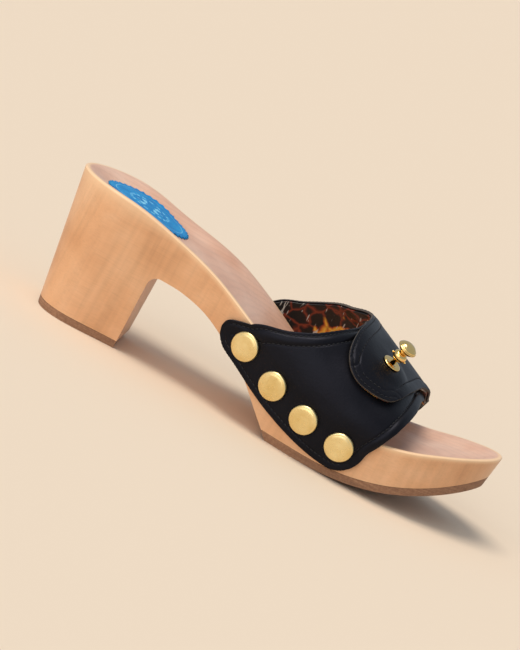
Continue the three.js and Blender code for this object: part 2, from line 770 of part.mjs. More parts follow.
// A hole through the bands at the lock, from one height off the form to another.
function lockHole(radius, low, high) {
  const hole = new THREE.CylinderGeometry(radius, radius, high - low, 24);
  hole.rotateX(Math.PI / 2).translate(0, 0, (low + high) / 2);
  return toSolid(hole.applyMatrix4(lockFrame.matrix));
}

// ---- the heel label and the lift's nails ----

function labelGeometry() {
  const n = 2 * labelTeeth;
  const rings = [1, 0.72, 0.4].map((share) =>
    Array.from({ length: n }, (_, i) => {
      const a = (2 * Math.PI * i) / n;
      const pink = share === 1 && i % 2 ? 0.95 : 1;
      const size = (share * pink) / 2;
      return [labelLength * size * Math.cos(a), labelWidth * size * Math.sin(a)];
    }));
  const lie = ([u, v], height) => {
    const x = labelCentre + u;
    return [x, v, heelSeat(x, v) + height];
  };
  const faceRings = (height) => rings.map((ring) => ring.map((p) => lie(p, height)));
  const loops = [...faceRings(labelSeat).reverse(), ...faceRings(labelSeat + labelThickness)];
  const faces = [];
  for (let r = 0; r + 1 < loops.length; r += 1)
    for (let i = 0; i < n; i += 1) {
      const next = (i + 1) % n;
      const [a, b, c, d] = [r * n + i, r * n + next, (r + 1) * n + next, (r + 1) * n + i];
      faces.push([a, b, c], [a, c, d]);
    }
  const points = [...loops.flat(), lie([0, 0], labelSeat), lie([0, 0], labelSeat + labelThickness)];
  const [under, over] = [points.length - 2, points.length - 1];
  const top = (loops.length - 1) * n;
  for (let i = 0; i < n; i += 1) {
    faces.push([under, (i + 1) % n, i], [over, top + i, top + ((i + 1) % n)]);
  }
  return geometryFrom(points, faces);
}

// Four nails hold the lift. Their heads are sunk into the rubber.
const liftMargin = 4;
const liftNailSpots = [[0.42, 0], [0.98, 0], [0.7, -0.6], [0.7, 0.6]].map(([along, across]) => [
  heelBackSlope + 1 + along * (heelBaseLength - 2 * liftMargin), across * (breast - liftMargin),
]);

function liftNail(grow) {
  const [r, head] = [liftNailRadius + grow, liftNailHead + grow];
  const [low, high] = [liftNailSink - grow, liftNailSink + liftNailHeadHeight + grow];
  return turned([
    [0, low], [head, low], [head, high], [r, high], [r, liftNailLength - liftNailPoint],
    [0, liftNailLength + grow],
  ], 12);
}

function liftNailHole([x, y]) {
  const radius = liftNailHead + liftNailFit;
  const mouth = new THREE.CylinderGeometry(radius, radius, 2 * liftNailSink, 12).rotateX(Math.PI / 2);
  return toSolid(liftNail(liftNailFit)).add(toSolid(mouth)).translate([x, y, 0]);
}

// ---- putting it together ----

const clog = new THREE.Group();

function addSole() {
  const blank = soleBlank();
  const nails = liftNailSpots.map(liftNailHole);
  const carved = blank.intersect(acrossSole(woodProfile()));
  const holes = [...nailHoles(-1), ...nailHoles(1), ...nails];
  clog.add(namedMesh("wooden_sole", toGeometry(cut(carved, holes)), wood));
  const outsole = blank.intersect(acrossSole(outsoleProfile()));
  clog.add(namedMesh("forefoot_outsole", toGeometry(outsole), tanRubber));
  const lift = cut(blank.intersect(acrossSole(liftProfile())), nails);
  clog.add(namedMesh("heel_lift", toGeometry(lift), tanRubber));
  liftNailSpots.forEach(([x, y], i) => {
    const nail = namedMesh(`heel_lift_nail_${i + 1}`, liftNail(0), steel);
    nail.position.set(x, y, 0);
    clog.add(nail);
  });
  clog.add(namedMesh("heel_label", labelGeometry(), blueLeather));
}

function addBands() {
  const looks = { leather: blackLeather, lining: printedLining };
  const flat = () => 0;
  const lateral = bandPatch(-1, lateralEnd, 3, 9, 11);
  const medial = bandPatch(1, crestLine - runningGap / 2, 3, 8, 11);
  const tab = tabPatch(6, 10);
  const tabHoles = { leather: neckRadius + neckClearance, lining: washerRadius + runningGap };
  for (const name of ["leather", "lining"]) {
    const room = lockHole(keeperRadius + 0.3, -3, tabBase);
    const near = cut(bandSheet(lateral, -1, layer[name], flat), [...nailHoles(-1), room]);
    clog.add(namedMesh(`lateral_band_${name}`, toGeometry(near), looks[name]));
    const far = cut(bandSheet(medial, 1, layer[name], climb), [...nailHoles(1), foldGroove()]);
    clog.add(namedMesh(`medial_band_${name}`, toGeometry(far), looks[name]));
    const flap = bandSheet(tab, -1, layer[name], () => tabBase);
    const eye = lockHole(tabHoles[name], 0, tabTop + 3);
    clog.add(namedMesh(`tab_${name}`, toGeometry(cut(flap, [eye, foldGroove()])), looks[name]));
  }
}

function addNails() {
  for (const { word, number, frame } of nailFrames) {
    const { seat } = frame.userData;
    frame.add(namedMesh(`${word}_stud_cap_${number}`, capGeometry(seat), brass));
    frame.add(namedMesh(`${word}_stud_nail_${number}`, nailGeometry(seat), steel));
    clog.add(frame);
  }
}

function addLock() {
  lockFrame.add(namedMesh("lock_rosette", rosetteGeometry(), brass));
  lockFrame.add(namedMesh("rosette_washer", washerGeometry(), steel));
  lockFrame.add(namedMesh("lock_keeper", keeperGeometry(), brass));
  lockFrame.add(namedMesh("keeper_ring", keeperRingGeometry(), steel));
  lockFrame.add(namedMesh("turn_knob", knobGeometry(), brass));
  lockFrame.add(namedMesh("knob_cross_pin", pinGeometry(), brass));
  lockFrame.add(namedMesh("lock_bar", barGeometry(), steel));
  clog.add(lockFrame);
}

addSole();
addBands();
addNails();
addLock();

// The origin is at the middle of the base.
const whole = new THREE.Box3().setFromObject(clog, true);
clog.position.set(-(whole.min.x + whole.max.x) / 2, -(whole.min.y + whole.max.y) / 2, -whole.min.z);

const model = new THREE.Group();
model.add(clog);
export default model;
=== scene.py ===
import json
import bpy
import numpy as np
from mathutils import Matrix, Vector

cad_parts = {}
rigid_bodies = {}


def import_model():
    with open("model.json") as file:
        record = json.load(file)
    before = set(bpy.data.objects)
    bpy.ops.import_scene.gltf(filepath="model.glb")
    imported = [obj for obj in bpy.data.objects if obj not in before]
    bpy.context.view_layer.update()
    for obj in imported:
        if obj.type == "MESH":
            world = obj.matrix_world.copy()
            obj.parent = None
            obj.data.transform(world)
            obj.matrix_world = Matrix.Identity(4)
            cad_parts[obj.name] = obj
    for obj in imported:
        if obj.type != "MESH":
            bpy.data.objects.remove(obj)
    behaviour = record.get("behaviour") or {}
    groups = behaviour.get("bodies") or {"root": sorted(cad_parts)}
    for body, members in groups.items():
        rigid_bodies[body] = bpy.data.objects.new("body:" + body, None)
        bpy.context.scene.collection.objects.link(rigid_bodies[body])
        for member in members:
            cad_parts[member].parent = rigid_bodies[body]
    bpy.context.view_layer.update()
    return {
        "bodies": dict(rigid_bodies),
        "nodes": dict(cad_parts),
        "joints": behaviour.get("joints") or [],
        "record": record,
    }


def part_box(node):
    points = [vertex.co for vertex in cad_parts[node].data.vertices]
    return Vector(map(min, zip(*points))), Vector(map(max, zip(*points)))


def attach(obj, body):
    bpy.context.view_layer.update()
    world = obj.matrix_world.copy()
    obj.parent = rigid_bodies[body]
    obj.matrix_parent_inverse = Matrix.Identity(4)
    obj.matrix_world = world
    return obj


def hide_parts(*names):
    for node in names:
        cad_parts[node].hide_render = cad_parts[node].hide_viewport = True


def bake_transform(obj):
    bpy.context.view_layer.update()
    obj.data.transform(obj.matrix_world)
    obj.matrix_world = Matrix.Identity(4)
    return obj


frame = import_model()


# ---- Wooden sole ----
# One block of alder, carved with its heel, sanded and sealed with a satin lacquer. The walls lean in towards
# the ground, the rim is a narrow rounded bead, and the footbed inside it is cupped and paler and pinker.
# Shapes here are in millimetres, x from the back of the heel, y from the middle line, z from the ground.

sole_low, sole_high = (np.array(corner) * 1000 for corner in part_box("wooden_sole"))
nail_low, nail_high = (np.array(corner) * 1000 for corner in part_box("heel_lift_nail_1"))
heel_back = np.array([sole_low[0], (nail_low[1] + nail_high[1]) / 2, 0.0])
sole_length = sole_high[0] - sole_low[0]
lift_top = sole_low[2]

heel_seat_height = 66.8
arch_rim_height = 55.3
ball_rim_height = 26.0
toe_rim_height = 41.0
medial_arch_lift, arch_lift_centre, arch_lift_run = 3.0, 88.0, 45.0
heel_width, waist_width, ball_width = 58.0, 54.5, 84.0
heel_base_width, breast_width = 49.0, 39.0
toe_swing, swing_start = 3.0, 151.0
heel_back_slope, heel_base_length = 11.0, 42.4
arch_under_height, breast_radius = 40.3, 5.0
tread_back, tread_flat_end, rocker_radius, toe_undercut = 136.8, 158.0, 128.0, 6.0
outsole_thickness = 3.8
footbed_depth, cup_run, bead = 3.2, 14.0, 1.3
heel_round, toe_round = heel_width / 2, 46.0
toe_start = sole_length - toe_round
breast_x = heel_back_slope + heel_base_length


def mix(a, b, t):
    return a + (b - a) * t


def smooth(t):
    c = np.clip(t, 0, 1)
    return c * c * (3 - 2 * c)


def curve_through(stations):
    """A smooth curve through (x, value) stations, in cubic pieces. The slope at each station is that of the
    chord between its neighbours."""
    xs, values = np.array(stations, float).T
    n = len(xs)
    before, after = np.maximum(np.arange(n) - 1, 0), np.minimum(np.arange(n) + 1, n - 1)
    slopes = (values[after] - values[before]) / (xs[after] - xs[before])

    def value_at(x):
        i = np.clip(np.searchsorted(xs, x) - 1, 0, n - 2)
        h = xs[i + 1] - xs[i]
        t = np.clip((x - xs[i]) / h, 0, 1)
        a = values[i] * (1 + 2 * t) + slopes[i] * h * t
        b = values[i + 1] * (3 - 2 * t) - slopes[i + 1] * h * (1 - t)
        return a * (1 - t) ** 2 + b * t**2

    return value_at


def along_sole(stations):
    return curve_through([(share * sole_length, value) for share, value in stations])


ball, waist, heel = ball_width / 2, waist_width / 2, heel_width / 2
lateral_rim = along_sole([
    (0, heel - 2), (0.12, heel), (0.21, heel), (0.32, waist + 1.75), (0.42, waist + 5.5), (0.53, ball - 3.5),
    (0.64, ball + 0.5), (0.72, ball + 1.5), (0.8, ball), (0.87, ball - 3), (1, ball - 9),
])
medial_rim = along_sole([
    (0, heel - 2), (0.12, heel), (0.21, heel - 1.5), (0.32, waist - 1.75), (0.4, waist), (0.51, ball - 8.5),
    (0.62, ball - 3.5), (0.7, ball - 1.5), (0.79, ball - 1), (0.87, ball - 2.5), (1, ball - 6),
])
ground_half = along_sole([
    (0, heel_base_width / 2 - 2), (0.12, heel_base_width / 2), (0.225, breast_width / 2),
    (0.32, breast_width / 2), (0.42, breast_width / 2 + 5), (0.53, ball - 10), (0.64, ball - 4.5),
    (0.72, ball - 3.5), (0.8, ball - 4.5), (1, ball - 11),
])
rim_curve = along_sole([
    (0, heel_seat_height), (0.13, heel_seat_height - 0.4),
    (0.235, mix(arch_rim_height, heel_seat_height, 0.57)),
    (0.34, arch_rim_height), (0.445, mix(ball_rim_height, arch_rim_height, 0.67)),
    (0.55, mix(ball_rim_height, arch_rim_height, 0.295)), (0.655, ball_rim_height + 1.6),
    (0.74, ball_rim_height),
    (0.83, mix(ball_rim_height, toe_rim_height, 0.19)), (0.91, mix(ball_rim_height, toe_rim_height, 0.56)),
    (1, toe_rim_height),
])


def rim_height(x, side):
    near = np.clip(abs(x - arch_lift_centre) / arch_lift_run, 0, 1)
    return rim_curve(x) + np.where(side > 0, medial_arch_lift * np.cos(near * np.pi / 2) ** 2, 0)


def ends(x):
    """How far a station is into the rounded heel and into the rounded toe, 0 to 1 each."""
    return np.clip(1 - x / heel_round, 0, 1), np.clip((x - toe_start) / toe_round, 0, 1)


def end_rounding(x):
    back, front = ends(x)
    return np.sqrt(1 - back**2) * np.sqrt(np.maximum(0, 1 - front**2))


def centre_line(x):
    return toe_swing * np.clip((x - swing_start) / (sole_length - swing_start), 0, 1) ** 2


def wall_point(x, side, z):
    """The wall at station x and height z: the half width runs straight from the rim's to the ground's,
    rounded off at both ends, and the ends slope in towards the ground."""
    low = np.clip(1 - z / rim_height(x, side), -0.1, 1.1)
    back, front = ends(x)
    rim = np.where(side < 0, lateral_rim(x), medial_rim(x))
    half = mix(rim, ground_half(x), low) * end_rounding(x)
    shift = heel_back_slope * back**2 - toe_undercut * front**2
    return np.stack([x + shift * low, centre_line(x) + side * half, z + 0 * x], -1)


def rocker(x, lift):
    """The height of the tread at x, lift millimetres above its underside: flat, then an arc up to the toe."""
    run = np.maximum(x - tread_flat_end, 0)
    return rocker_radius - np.sqrt((rocker_radius - lift) ** 2 - run**2)


def on_rocker(x, lift):
    """The height at which the wall of station x meets the tread, found by looking it up a few times."""
    z = rocker(x, lift)
    for _ in range(6):
        z = rocker(wall_point(x, -1, z)[..., 0], lift)
    return z


def bead_drop(inset):
    """How far the footbed lies under the rim: a quarter round bead at the edge, then the cup."""
    edge = np.clip(1 - inset / bead, 0, 1)
    return bead * (1 - np.sqrt(1 - edge**2)) + footbed_depth * smooth((inset - 2.2) / (cup_run - 2.2))


def ring_inside(x, side, inset):
    """A line on the footbed: the rim's points moved in towards the spine of the sole by inset."""
    rim = wall_point(x, side, rim_height(x, side))
    spine_x = np.clip(x, heel_round, toe_start)
    spine = np.stack([spine_x, centre_line(spine_x)], -1)
    away = spine - rim[..., :2]
    share = np.minimum(inset / np.maximum(np.linalg.norm(away, axis=-1), 1e-6), 1)[..., None]
    flat = rim[..., :2] + away * share
    height = rim_height(flat[..., 0], side) - bead_drop(inset)
    return np.concatenate([flat, height[..., None]], -1)


def in_place(points):
    """Millimetres on the sole to metres in the frame."""
    return (np.asarray(points) + heel_back) / 1000


def grid_faces(rows, columns, start=0, around=False):
    """Quads over a grid of points, row by row. With around, the last column joins the first."""
    r, c = np.meshgrid(np.arange(rows - 1), np.arange(columns if around else columns - 1), indexing="ij")
    a, b = r * columns + c, r * columns + (c + 1) % columns
    return (start + np.stack([a, b, b + columns, a + columns], -1)).reshape(-1, 4)


def new_piece(name, points, faces, *materials, **levels):
    """A smooth-shaded mesh at the origin. Points that coincide become one. levels are attributes, with one
    value a point."""
    points = np.asarray(points).reshape(-1, 3)
    _, first, same = np.unique(np.round(points * 1e6), axis=0, return_index=True, return_inverse=True)
    order = np.argsort(first)
    same = np.argsort(order)[same.ravel()]
    loops = [list(dict.fromkeys(face)) for face in same[np.asarray(faces)].tolist()]
    mesh = bpy.data.meshes.new(name)
    mesh.from_pydata(points[first[order]].tolist(), [], [loop for loop in loops if len(loop) > 2])
    for word, level in levels.items():
        spread = mesh.attributes.new(word, "FLOAT", "POINT")
        spread.data.foreach_set("value", np.asarray(level, np.float32).ravel()[first[order]])
    for material in materials:
        mesh.materials.append(material)
    piece = bpy.data.objects.new(name, mesh)
    bpy.context.scene.collection.objects.link(piece)
    mesh.shade_smooth()
    return piece


def colour(hex_value):
    """An sRGB hex colour as linear RGBA."""
    channels = np.array([int(hex_value[i:i + 2], 16) / 255 for i in (1, 3, 5)])
    linear = np.where(channels <= 0.04045, channels / 12.92, ((channels + 0.055) / 1.055) ** 2.4)
    return (*linear.tolist(), 1.0)


def new_material(name, **shader):
    """A material whose surface is one Principled shader with these constants."""
    material = bpy.data.materials.new(name)
    material.use_nodes = True
    principled = material.node_tree.nodes["Principled BSDF"]
    for key, value in shader.items():
        principled.inputs[key.replace("_", " ")].default_value = value
    return material, principled


def add(material, kind, links=None, stops=None, **settings):
    """Adds a node. links gives its inputs numbers, colours or other sockets, and stops a ramp's colours."""
    tree = material.node_tree
    made = tree.nodes.new("ShaderNode" + kind)
    for key, value in settings.items():
        setattr(made, key, value)
    for key, value in (links or {}).items():
        if isinstance(value, bpy.types.NodeSocket):
            tree.links.new(value, made.inputs[key])
        else:
            made.inputs[key].default_value = value
    if stops:
        ramp = made.color_ramp.elements
        while len(ramp) < len(stops):
            ramp.new(1)
        for element, (place, value) in zip(ramp, stops):
            element.position = place
            element.color = colour(value) if isinstance(value, str) else (value, value, value, 1)
    return made


def feed(material, socket, source):
    material.node_tree.links.new(source, socket)


def position(material):
    return add(material, "TexCoord").outputs["Object"]


def noise(material, vector, scale=1.0, detail=3.0, distortion=0.0):
    settings = {"Vector": vector, "Scale": scale, "Detail": detail, "Distortion": distortion}
    return add(material, "TexNoise", settings).outputs[0]


def stretched(material, vector, scale, turn=(0, 0, 0)):
    return add(material, "Mapping", {"Vector": vector, "Rotation": turn, "Scale": scale}).outputs[0]


def ramp(material, value, *stops):
    return add(material, "ValToRGB", {"Fac": value}, stops=stops).outputs[0]


def layer(material, share, below, above, kind="MIX"):
    """Two colours mixed, or multiplied, by share."""
    return add(material, "Mix", {0: share, 6: below, 7: above}, data_type="RGBA", blend_type=kind).outputs[2]


def remap(material, value, low, high, to_low, to_high):
    return add(material, "MapRange", {"Value": value, "From Min": low, "From Max": high, "To Min": to_low,
                                      "To Max": to_high}).outputs[0]


def bump(material, height, strength, distance, **under):
    """A bump of the height, distance in metres. under may give Normal, a bump that lies beneath this one."""
    settings = {"Height": height, "Strength": strength, "Distance": distance}
    return add(material, "Bump", settings | under).outputs[0]


# Alder under satin lacquer: growth rings about 1.8 mm apart that show as arcs where the footbed cuts them,
# short fibres along the sole, soft cloudy patches, fine upright sanding marks on the walls, and a painted
# highlight along the rim bead, where the rounded edge is painted paler.
alder, alder_shader = new_material("alder", Roughness=0.5, IOR=1.5, Coat_Weight=0.25, Coat_Roughness=0.38)
spot = position(alder)
ring_space = add(alder, "Mapping", {"Vector": spot, "Location": (0, 0.01, 0.05), "Scale": (0.35, 1, 1)})
rings = add(alder, "TexWave", {"Vector": ring_space.outputs[0], "Scale": 150.0, "Distortion": 3.5,
                               "Detail": 3.0, "Detail Scale": 0.6}, wave_type="RINGS", rings_direction="X")
fibres = noise(alder, stretched(alder, spot, (60, 1400, 1400)))
upright = noise(alder, stretched(alder, spot, (420, 60, 16), (0, -0.35, 0)))
clouds = noise(alder, spot, 38.0)
wall_tone = ramp(alder, clouds, (0.3, "#CF9769"), (0.5, "#DBA679"), (0.72, "#E4B58B"))
bed_tone = ramp(alder, clouds, (0.3, "#CD9B7F"), (0.5, "#D8AA8F"), (0.72, "#E1B9A0"))
inside = add(alder, "Attribute", attribute_name="footbed").outputs["Fac"]
outside = add(alder, "Math", {0: 1.0, 1: inside}, operation="SUBTRACT").outputs[0]
ring_share = add(alder, "Math", {0: inside, 1: 0.35}, operation="MULTIPLY").outputs[0]
# The attribute rim marks the rim bead, which is painted paler as a painted highlight.
rim_highlight_share = add(alder, "Attribute", attribute_name="rim").outputs["Fac"]
ring_shade = ramp(alder, rings.outputs["Fac"], (0, 0.86), (0.4, 1.0), (1, 1.03))
fibre_shade = ramp(alder, fibres, (0.25, 0.88), (0.5, 1.0), (0.8, 1.06))
upright_shade = ramp(alder, upright, (0.3, 0.93), (0.5, 1.0), (0.75, 1.05))
wood_tone = layer(alder, inside, wall_tone, bed_tone)
for part, shade in ((ring_share, ring_shade), (0.6, fibre_shade), (outside, upright_shade)):
    wood_tone = layer(alder, part, wood_tone, shade, "MULTIPLY")
# Painted highlight: the rim bead is painted a pale #F3CFA4, as if the light caught its rounded edge.
feed(alder, alder_shader.inputs["Base Color"], layer(alder, rim_highlight_share, wood_tone, colour("#F3CFA4")))
feed(alder, alder_shader.inputs["Normal"], bump(alder, fibres, 0.12, 0.0003))

# Ribs of the wall: where each starts on the underside (x and z) and where it ends on the rim (x). They fan
# out from the heel's front face, which is upright.
arch_run = tread_back - outsole_thickness - breast_x - breast_radius
arch_under = curve_through([
    (0, arch_under_height), (0.15, arch_under_height - 0.4), (0.35, arch_under_height - 3.6),
    (0.55, arch_under_height - 10.6), (0.74, arch_under_height - 19.2), (0.87, arch_under_height - 27.8),
    (1, outsole_thickness),
])
base = (1 - np.cos(np.linspace(0, np.pi / 2, 26))) * breast_x
front_face = np.linspace(lift_top, arch_under_height - breast_radius, 12)[1:]
corner = np.linspace(0, np.pi / 2, 7)[1:-1]
under = np.linspace(0, 1, 34)
tread = np.sin(np.linspace(0, np.pi / 2, 46))[1:]
toe_from = tread_back - outsole_thickness
tread_x = mix(toe_from, sole_length, tread)
rib_x = np.concatenate([
    base, np.full(len(front_face), breast_x), breast_x + breast_radius * (1 - np.cos(corner)),
    breast_x + breast_radius + under * arch_run, tread_x,
])
rib_z = np.concatenate([
    np.full(len(base), lift_top), front_face,
    arch_under_height - breast_radius * (1 - np.sin(corner)), arch_under(under),
    on_rocker(tread_x, outsole_thickness),
])
rim_x = np.concatenate([
    base * 0.72, np.linspace(0.72 * breast_x, 51, len(front_face) + 1)[1:],
    np.linspace(51, 56, len(corner) + 2)[1:-1], np.linspace(56, toe_from - 4, len(under)),
    mix(toe_from - 4, sole_length, tread),
])


def round_trip(values):
    """Values for the ribs of the lateral side from heel to toe, then the medial side back again."""
    return np.concatenate([values, values[-2:0:-1]])


def side_signs(count):
    return np.concatenate([-np.ones(count), np.ones(count - 2)])


wall_rows = np.linspace(0, 1, 18)[:, None]
signs = side_signs(len(rib_x))
foot_x, foot_z, top_x = (round_trip(v) for v in (rib_x, rib_z, rim_x))
top_z = rim_height(top_x, signs) - bead
walls = wall_point(mix(foot_x, top_x, wall_rows), signs, mix(foot_z, top_z, wall_rows))
insets = np.array([0.1, 0.3, 0.6, 0.95, 1.3, 1.9, 2.3, 3, 4, 5.2, 6.6, 8.2, 10, 12, 14])[:, None]
footbed = ring_inside(top_x + 0 * insets, signs + 0 * insets, insets)
sole_grid = np.concatenate([walls, footbed])


def side_strips(count, start, flip=False):
    """Quads from each rib of the lateral side straight across to its twin on the medial side."""
    i = np.arange(count - 1)
    twin = (2 * (count - 1) - np.arange(count)) % (2 * (count - 1))
    quads = start + np.stack([i, twin[i], twin[i + 1], i + 1], -1)
    return quads[:, ::-1] if flip else quads


around = sole_grid.shape[1]
sole_faces = np.concatenate([
    grid_faces(len(sole_grid), around, around=True),
    side_strips(len(rib_x), 0),
    side_strips(len(rib_x), (len(sole_grid) - 1) * around, flip=True),
])
row_of = np.repeat(np.arange(len(sole_grid)), around)
in_footbed = smooth((row_of - len(walls) - 4) / 3)
# Painted highlight: the rows over the rim bead, at three quarters strength, stored as the attribute rim.
rim_highlight_rows = 0.75 * smooth((row_of - len(walls) + 3) / 3) * (1 - smooth((row_of - len(walls) - 4) / 3))
wooden_sole = new_piece("sole", in_place(sole_grid), sole_faces, alder, footbed=in_footbed, rim=rim_highlight_rows)


def finish_edges(piece, width, angle=40, segments=3):
    """Rounds every edge sharper than angle by width millimetres, and evens the shading beside it."""
    bevel = piece.modifiers.new("edges", "BEVEL")
    bevel.width, bevel.segments, bevel.limit_method = width / 1000, segments, "ANGLE"
    bevel.angle_limit = np.radians(angle)
    bevel.harden_normals = True


finish_edges(wooden_sole, 0.7)
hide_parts("wooden_sole")
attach(wooden_sole, "clog")


# ---- Outsole and heel lift ----
# Tan-brown vulcanised rubber, about 3.5 mm thick, glued to the wood and sanded flush with its walls on a
# belt, which leaves a matt edge, slightly paler along the bottom.

tan_rubber, tan_shader = new_material("tan rubber", Roughness=0.75, IOR=1.52)
spot = position(tan_rubber)
crumb = noise(tan_rubber, spot, 900.0, 4.0)
sanded = noise(tan_rubber, stretched(tan_rubber, spot, (40, 40, 1500)), 1.0, 2.0)
crumb_mix = add(tan_rubber, "Mix", {0: 0.5, 2: crumb, 3: sanded}).outputs[0]
rubber_tone = ramp(tan_rubber, crumb_mix, (0.35, "#7E5A42"), (0.5, "#8F684D"), (0.66, "#A27A5C"))
feed(tan_rubber, tan_shader.inputs["Base Color"], rubber_tone)
feed(tan_rubber, tan_shader.inputs["Normal"], bump(tan_rubber, crumb_mix, 0.35, 0.0003))

glue_line = 0.12


def tread_slab(name, stations, low_z, high_z, low_x=None):
    """A slab that follows the walls: a loop of wall points in rows from low_z to high_z, closed across."""
    count = len(stations)
    rows = np.linspace(0, 1, 4)[:, None]
    loop_low = round_trip(stations if low_x is None else low_x)
    x = mix(loop_low, round_trip(stations), rows)
    z = mix(round_trip(low_z), round_trip(high_z), rows)
    grid = wall_point(x, side_signs(count), z)
    columns = grid.shape[1]
    faces = np.concatenate([
        grid_faces(4, columns, around=True), side_strips(count, 0),
        side_strips(count, 3 * columns, flip=True),
    ])
    slab = new_piece(name, in_place(grid), faces, tan_rubber)
    finish_edges(slab, 0.35)
    return slab


outsole_x = mix(toe_from, sole_length, np.sin(np.linspace(0, np.pi / 2, 60)))
outsole_low_x = mix(tread_back, sole_length, np.sin(np.linspace(0, np.pi / 2, 60)))
outsole = tread_slab("outsole", outsole_x, on_rocker(outsole_low_x, 0.0),
                     on_rocker(outsole_x, outsole_thickness) - glue_line, outsole_low_x)
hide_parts("forefoot_outsole")

lift_x = (1 - np.cos(np.linspace(0, np.pi / 2, 40))) * breast_x
heel_lift = tread_slab("heel_lift_rubber", lift_x, 0 * lift_x, 0 * lift_x + lift_top - glue_line)
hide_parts("heel_lift")
for slab in (outsole, heel_lift):
    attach(slab, "clog")


# ---- Heel label ----
# A pinked oval of blue goatskin, 45 by 37 mm and under a millimetre thick, glued to the heel seat. A pale
# blue border line and a dotted ornament are foil-stamped on it.

label_length, label_width, label_centre = 45.5, 37.0, 35.8
label_lift, label_thickness = 0.1, 0.7
border_inset = 4.0


def heel_seat(x, y):
    """The height of the footbed at a point of the heel: the cup at both edges, and straight between them."""
    lateral, medial = (abs(wall_point(x, s, rim_height(x, s))[..., 1]) for s in (-1.0, 1.0))
    flat_half = heel - 0.8
    rim = np.where(x < heel_round, flat_half, np.where(y < 0, lateral, medial))
    inset = rim - np.hypot(x - np.maximum(x, heel_round), y)
    across = smooth(0.5 + y / (2 * (rim - cup_run)))
    return mix(rim_height(x, -1.0), rim_height(x, 1.0), across) - bead_drop(np.maximum(inset, 0))


goatskin, goatskin_shader = new_material("blue goatskin", Roughness=0.55, IOR=1.48, Specular_IOR_Level=0.3)
spot = position(goatskin)
pebble = add(goatskin, "TexVoronoi", {"Vector": spot, "Scale": 1300.0}, feature="SMOOTH_F1").outputs[0]
blue = ramp(goatskin, noise(goatskin, spot, 160.0, 4.0), (0.3, "#0272B2"), (0.5, "#0480BF"), (0.7, "#1690CA"))
stamped = add(goatskin, "Attribute", attribute_name="stamp").outputs["Fac"]
feed(goatskin, goatskin_shader.inputs["Base Color"], layer(goatskin, stamped, blue, colour("#7CC6E6")))
feed(goatskin, goatskin_shader.inputs["Normal"], bump(goatskin, pebble, 0.4, 0.0002))

label_teeth, tooth_depth, tooth_reach = 38, 0.075, 0.9
turn = np.linspace(0, 2 * np.pi, 8 * label_teeth, endpoint=False)
tooth = abs((turn * label_teeth / (2 * np.pi)) % 1 - 0.5) * 2


def label_rings(insets):
    """Rings parallel to the label's edge, as distances from its centre along and across it."""
    insets = np.array(insets)[:, None]
    along = np.maximum(label_length / 2 - insets, label_length / 2 * (1 - insets * 2 / label_width))
    pinked = 1 - tooth_depth * tooth * np.exp(-insets / tooth_reach)
    return along * pinked * np.cos(turn), (label_width / 2 - insets) * pinked * np.sin(turn), insets


u, v, inset = label_rings([0, 0.12, 0.35, *np.linspace(0.8, label_width / 2, 56)])
top = heel_seat(label_centre + u, v) + label_lift + label_thickness - 0.2 * np.exp(-inset / 0.15)
oval = np.hypot(u, v * label_length / label_width)
dotted_ring = (abs(oval - 10.5) < 0.8) & (np.cos(turn * 19) > -0.1)
leaves = (abs(oval - 5) < 2.2) & (np.cos(turn * 6) > 0.35)
border = abs(inset - border_inset) < 0.3
stamp = border | dotted_ring | leaves
upper = np.stack([label_centre + u, v, top - 0.12 * stamp], -1)
u, v, _ = label_rings([label_width / 2, 10, 4, 0])
lower = np.stack([label_centre + u, v, heel_seat(label_centre + u, v) + label_lift], -1)
label_grid = np.concatenate([lower, upper])
stamp_level = np.concatenate([0 * u, stamp])
label_faces = grid_faces(len(label_grid), len(turn), around=True)
label = new_piece("label", in_place(label_grid), label_faces, goatskin, stamp=stamp_level)
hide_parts("heel_label")
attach(label, "clog")


# ---- Leather bands ----
# Black cowhide 1.4 mm thick in two bands, skived at the edges. The lateral one is nailed along the wall. The
# medial one crosses the instep and ends in the rounded tab. Front edges are turned over into a rolled hem,
# back edges padded between two rows of stitching, and the nailed edges lie flat on the wood.

crest_q = 66.0
instep_height, instep_peak, vamp_slope, vamp_curl = 63.0, 148.7, 0.45, 0.0018
band_drop, drop_gain, band_back, band_front = 19.5, 1.7, 94.1, 181.5
rear_corner, front_corner = 7.0, 14.0
rear_start, fore_start = rear_corner - band_drop, front_corner - band_drop - drop_gain
medial_bow, bow_end, tab_front_cut = 6.0, 52.0, 4.8
lateral_end = 76.0
tab_back, tab_tip = band_back + 54.2, crest_q - 44.0
lining_height, leather_low, leather_high, tab_climb = 0.5, 1.5, 2.9, 3.3


def crest_height(x):
    past = x - instep_peak
    return instep_height - vamp_slope * (past + vamp_curl * np.maximum(0, past) ** 2)


def form_point(x, side, q):
    """The foot form: q mm up from the rim of one side, over the crest at 66 and down the other side, as a
    superellipse of power 2.5 across. Below the rim, where q is under 0, it is the wooden wall."""
    x, q = np.broadcast_arrays(np.asarray(x, float), np.asarray(q, float))
    angle = np.maximum(q, 0) / crest_q * np.pi / 2
    here = np.where(np.cos(angle) >= 0, side, -side)
    foot = rim_height(x, here)
    half = np.where(here < 0, lateral_rim(x), medial_rim(x)) * end_rounding(x)
    y = centre_line(x) + here * half * np.abs(np.cos(angle)) ** 0.8
    z = foot + (crest_height(x) - foot) * np.abs(np.sin(angle)) ** 0.8
    wall = wall_point(x, side, rim_height(x, side) + np.minimum(q, 0))
    return np.where(q[..., None] < 0, wall, np.stack([x, y, z], -1))


def form_normal(x, side, q, step=1.2, rise=4.0):
    """The way out of the form, from differences over a step along and a rise across, each way."""
    along = form_point(x + step, side, q) - form_point(x - step, side, q)
    across = form_point(x, side, q + rise) - form_point(x, side, q - rise)
    out = np.cross(across, along) * side
    return out / np.linalg.norm(out, axis=-1, keepdims=True)


